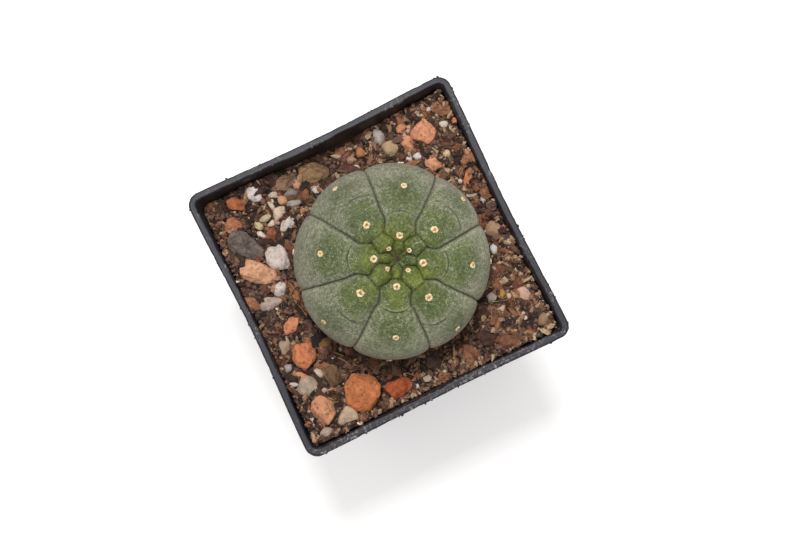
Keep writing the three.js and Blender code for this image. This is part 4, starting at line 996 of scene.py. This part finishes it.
roots = [np.column_stack([flat * r, np.full(len(flat), z)]) for r, z in root_levels]
rings = np.concatenate([np.array(roots)[::-1], body[::-1]])
crown = [*CROWN_SHIFT, body_outline(np.float64(0.0))[1]]
points, faces = loft(rings, [0, 0, -ROOT_LENGTH - 1], crown)


def per_point(values, at_root, at_tip, at_crown):
    """A number for every point of the loft, from the skin's own rows."""
    root = np.full(len(roots) * RIBS * ACROSS, at_root)
    return np.concatenate([root, values[::-1].ravel(), [at_tip, at_crown]])


age = np.repeat((k_steps + 1) / (LAST_WHORL + 1), RIBS * ACROSS).reshape(rows, -1)

# The skin as it looks: thick, waxy and velvety, greenest in the middle of the young tubercles,
# greyed by bloom and lit by painted highlights towards their margins, with painted shade along
# the furrows and creases, and dotted all over with pale pores. The growing point in the crown is
# dark brown felt.
GREENS_BY_AGE = [
    (0.03, "#2b1a0e"), (0.055, "#4a3718"), (0.075, "#5e6020"), (0.15, "#6c7421"), (0.24, "#646d27"),
    (0.32, "#565f2d"), (0.42, "#525b37"), (0.52, "#5d6247"), (0.62, "#6c6b56"), (0.75, "#787160"),
    (0.88, "#716a55")]
skin_wax, shader = new_material("velvety cactus skin")
place = add_node(skin_wax, "TexCoord").outputs["Object"]
years, furrow_shade_share, crease_shade_share, margin_bloom_and_highlight, by_areole = (
    add_node(skin_wax, "Attribute", attribute_name=label).outputs["Fac"]
    for label in ("age", "furrow", "crease", "margin", "fresh"))

# Greens by age, drifting a little from place to place, and darker round each areole.
cloudy = add_node(skin_wax, "TexNoise", {"Vector": place, "Scale": repeats(100 / 19), "Detail": 5.0,
                                         "Roughness": 0.65})
shift = add_node(skin_wax, "MapRange", (cloudy, 0.3, 0.7, 0.7, 1.3))
growth = add_node(skin_wax, "Math", (years, shift), operation="MULTIPLY")
greens = add_node(skin_wax, "ValToRGB", {"Fac": growth}, GREENS_BY_AGE)
patchy = add_node(skin_wax, "MapRange", (cloudy, 0.35, 0.65, 0.3, 1.0))
leaf_share = add_node(skin_wax, "Math", (by_areole, patchy), operation="MULTIPLY")
leafy = add_node(skin_wax, "Mix", {0: leaf_share, 6: greens, 7: linear("#3d491c")}, data_type="RGBA")

# Bloom: a pale waxy dust on the margins and on old skin, far too fine to show, so drawn coarser.
# The same pale mix is the painted highlight on the shoulders beside the furrows and on the lit
# edges of the steps.
bloom = add_node(skin_wax, "TexNoise", {"Vector": place, "Scale": repeats(10 / 13), "Detail": 5.0,
                                        "Roughness": 0.75})
old_bloom = add_node(skin_wax, "MapRange", (years, 0.22, 0.62, 0.0, 0.3))
bloom_and_highlight = add_node(skin_wax, "Math", (margin_bloom_and_highlight, 0.5, old_bloom), operation="MULTIPLY_ADD")
bloom_and_highlight = add_node(skin_wax, "Math", (by_areole, -0.45, bloom_and_highlight), operation="MULTIPLY_ADD")
bloom_span = add_node(skin_wax, "MapRange", (bloom, 0.36, 0.64, 0.3, 1.7))
bloom_and_highlight_share = add_node(skin_wax, "Math", (bloom_and_highlight, bloom_span), operation="MULTIPLY", use_clamp=True)
bloomed_and_highlit = add_node(skin_wax, "Mix", {0: bloom_and_highlight_share, 6: leafy, 7: linear("#86866f")}, data_type="RGBA")

# Pale pores, more of them on old skin, and thin winding scars.
dots = add_node(skin_wax, "TexVoronoi", {"Vector": place, "Scale": repeats(10 / 19)})
dotted = add_node(skin_wax, "MapRange", (dots, 0.42, 0.12))
bright = add_node(skin_wax, "SeparateColor", {"Color": dots.outputs["Color"]}).outputs["Red"]
drift = add_node(skin_wax, "TexNoise", {"Vector": place, "Scale": repeats(10 / 3), "Detail": 4.0,
                                        "Roughness": 0.7})
where = add_node(skin_wax, "MapRange", (drift, 0.35, 0.65, 0.15, 0.95))
pore = add_node(skin_wax, "Math", (bright, 2.5), operation="POWER")
dot_share = add_node(skin_wax, "Math", (dotted, pore), operation="MULTIPLY")
grown = add_node(skin_wax, "MapRange", (years, 0.14, 0.42))
where = add_node(skin_wax, "Math", (where, grown), operation="MULTIPLY")
dot_share = add_node(skin_wax, "Math", (dot_share, where), operation="MULTIPLY")
level = add_node(skin_wax, "Math", (drift, 0.52), operation="SUBTRACT")
level = add_node(skin_wax, "Math", (level,), operation="ABSOLUTE")
scar = add_node(skin_wax, "MapRange", (level, 0.012, 0.003))
scar = add_node(skin_wax, "Math", (scar, patchy), operation="MULTIPLY")
scar = add_node(skin_wax, "Math", (scar, 0.45), operation="MULTIPLY")
dot_share = add_node(skin_wax, "Math", (dot_share, scar), operation="MAXIMUM")
speckled = add_node(skin_wax, "Mix", {0: dot_share, 6: bloomed_and_highlit, 7: linear("#c3c5ab")}, data_type="RGBA")

# Grain, then painted shade: the dark lines of the furrows and creases, with a soft shaded band
# beside the furrows. Then painted light over the whole plant, paler on the side at -Y, which
# faces away from the key light.
grainy = add_node(skin_wax, "MapRange", (bloom, 0.35, 0.65, 0.58, 1.43))
dulled = add_node(skin_wax, "VectorMath", {0: speckled, "Scale": grainy}, operation="SCALE")
# Painted shade: the furrow and crease lines are drawn dark.
line_share = add_node(skin_wax, "Math", (furrow_shade_share, crease_shade_share), operation="ADD", use_clamp=True)
line_span = add_node(skin_wax, "MapRange", (cloudy, 0.35, 0.65, 0.45, 0.95))
painted_line_shade = add_node(skin_wax, "Math", (line_share, line_span), operation="MULTIPLY")
shaded_by_lines = add_node(skin_wax, "Mix", {0: painted_line_shade, 6: dulled, 7: linear("#20230f")}, data_type="RGBA")
fine = add_node(skin_wax, "Math", (dotted, bloom), operation="ADD")
bumps = add_node(skin_wax, "Bump", {"Height": fine, "Strength": 0.8, "Distance": 0.14 * MM})
over = add_node(skin_wax, "SeparateXYZ", {"Vector": place}).outputs
# Painted light: the skin is drawn paler towards -Y, the side away from the key light.
slant = add_node(skin_wax, "Math", (over["X"], -0.3, over["Y"]), operation="MULTIPLY_ADD")
painted_fill_light = add_node(skin_wax, "MapRange", (slant, -30 * MM, 30 * MM, 1.4, 0.88))
toned = add_node(skin_wax, "VectorMath", {0: shaded_by_lines, "Scale": painted_fill_light}, operation="SCALE")
feed(shader, {"Base Color": toned, "Normal": bumps, "Roughness": 0.62, "Specular IOR Level": 0.3,
              "Sheen Weight": 0.05, "Sheen Roughness": 0.5})

# The furrow and crease attributes carry painted shade, and the margin attribute carries bloom with painted
# highlight.
cactus = add_piece("cactus_body", planted(points), faces, skin_wax,
                   age=per_point(age, 1.0, 1.0, 0.0), furrow=per_point(furrow_shade, 0.0, 0.0, 0.5),
                   crease=per_point(crease_shade, 0.0, 0.0, 0.0), margin=per_point(margin, 0.0, 0.0, 0.0),
                   fresh=per_point(fresh, 0.0, 0.0, 0.0))
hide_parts("cactus")

# Areoles: a close ring of cream felt tufts round a brown cushion, where a few dark spine stubs
# stick out. This young plant has no spines.
TUFTS = 10
STUBS = 4
SPIRAL_TURN = 2.4  # radians from one ball of a spiral to the next
FELT_GRAIN = 10 / 26  # the hairs are too fine to show, so they are drawn as grains of this size
felt = crumb_material("areole felt", [(0.0, "#bfa06c"), (0.5, "#dcc598"), (1.0, "#efdfba")], FELT_GRAIN)
cork = crumb_material("brown areole cushion", [
    (0.0, "#2b260c"), (0.25, "#4f4222"), (0.6, "#a07c48"), (1.0, "#cbab74")], FELT_GRAIN)
stub = crumb_material("spine stubs", [(0.0, "#7c5032"), (1.0, "#b27c50")], FELT_GRAIN)
draw = np.random.default_rng(41)
tuft, tuft_faces = ball(6, 9)
tufts, cushions, stubs = [], [], []


def set_on(pad, across, normal, centre):
    """Moves shapes from an areole's own frame, +Z away from the skin, to its place."""
    return pad @ np.array([across, np.cross(normal, across), normal]) + centre


def clumps(count, out, angle, rise, size):
    """Lumpy balls at polar places round an areole's middle."""
    centre = np.stack([out * np.cos(angle), out * np.sin(angle), rise], -1)
    shape = tuft[None] * np.stack([size, size, size * 0.75], -1)[:, None]
    return shape * (0.85 + 0.3 * draw.random((count, len(tuft), 1))) + centre[:, None]


for whorl in range(1, AREOLE_WHORLS):
    for j in range(whorl % 2, RIBS, 2):
        # Each sits a little off the middle of its rib. The skin's two slopes there face it outwards.
        s = 0.5 + 0.06 * (hashed(j, whorl) - 0.5)
        k = whorl + AREOLE_SHIFTS[whorl] + 0.12 * (hashed(whorl, j + 9) - 0.5)
        near = planted(skin(np.array([j] * 3), np.array([s, s + 0.1, s]), np.array([k, k, k + 0.1]))[0])
        across, down = near[1] - near[0], near[2] - near[0]
        normal = np.cross(down, across)
        normal /= np.linalg.norm(normal)
        across /= np.linalg.norm(across)
        radius = AREOLE_RADIUS * AREOLE_SIZES[whorl]
        around = (np.arange(TUFTS) + 0.35 * draw.random(TUFTS)) / TUFTS * 2 * pi
        ring = clumps(TUFTS, radius * (0.52 + 0.16 * draw.random(TUFTS)), around, np.full(TUFTS, 0.14),
                      radius * (0.3 + 0.08 * draw.random(TUFTS)))
        around = np.arange(STUBS) * SPIRAL_TURN + 6 * draw.random()
        dots = clumps(STUBS, radius * 0.21 * np.sqrt(np.arange(STUBS) * 1.6 + 0.3), around,
                      np.full(STUBS, 0.3), np.full(STUBS, radius * 0.11))
        pad = tuft * [radius * 0.75, radius * 0.75, 0.32]
        tufts.append(set_on(ring, across, normal, near[0]))
        stubs.append(set_on(dots, across, normal, near[0]))
        cushions.append(set_on(pad, across, normal, near[0])[None])

# Brown wool on the growing point.
WOOL = 14
WOOL_RADIUS = 0.6
top = planted(np.array([crown]))[0]
wool = clumps(WOOL, WOOL_RADIUS * np.sqrt(np.arange(WOOL) / WOOL), np.arange(WOOL) * SPIRAL_TURN,
              np.full(WOOL, 0.05), 0.2 + 0.15 * draw.random(WOOL))
cushions.append(wool + top)
for name, material, parts in [("areole_felt", felt, tufts), ("areole_cushions", cork, cushions),
                              ("spine_stubs", stub, stubs)]:
    parts = np.concatenate(parts)
    tint = draw.random(len(parts))
    if name == "areole_cushions":
        tint[:-WOOL] = 0.45 + 0.55 * tint[:-WOOL]  # the cushions take the ramp's paler half
        tint[-WOOL:] *= 0.15  # and the wool its dark end
    faces = many(tuft_faces, len(parts), len(tuft))
    piece = add_piece(name, parts.reshape(-1, 3), faces, material, tint=np.repeat(tint, len(tuft)))
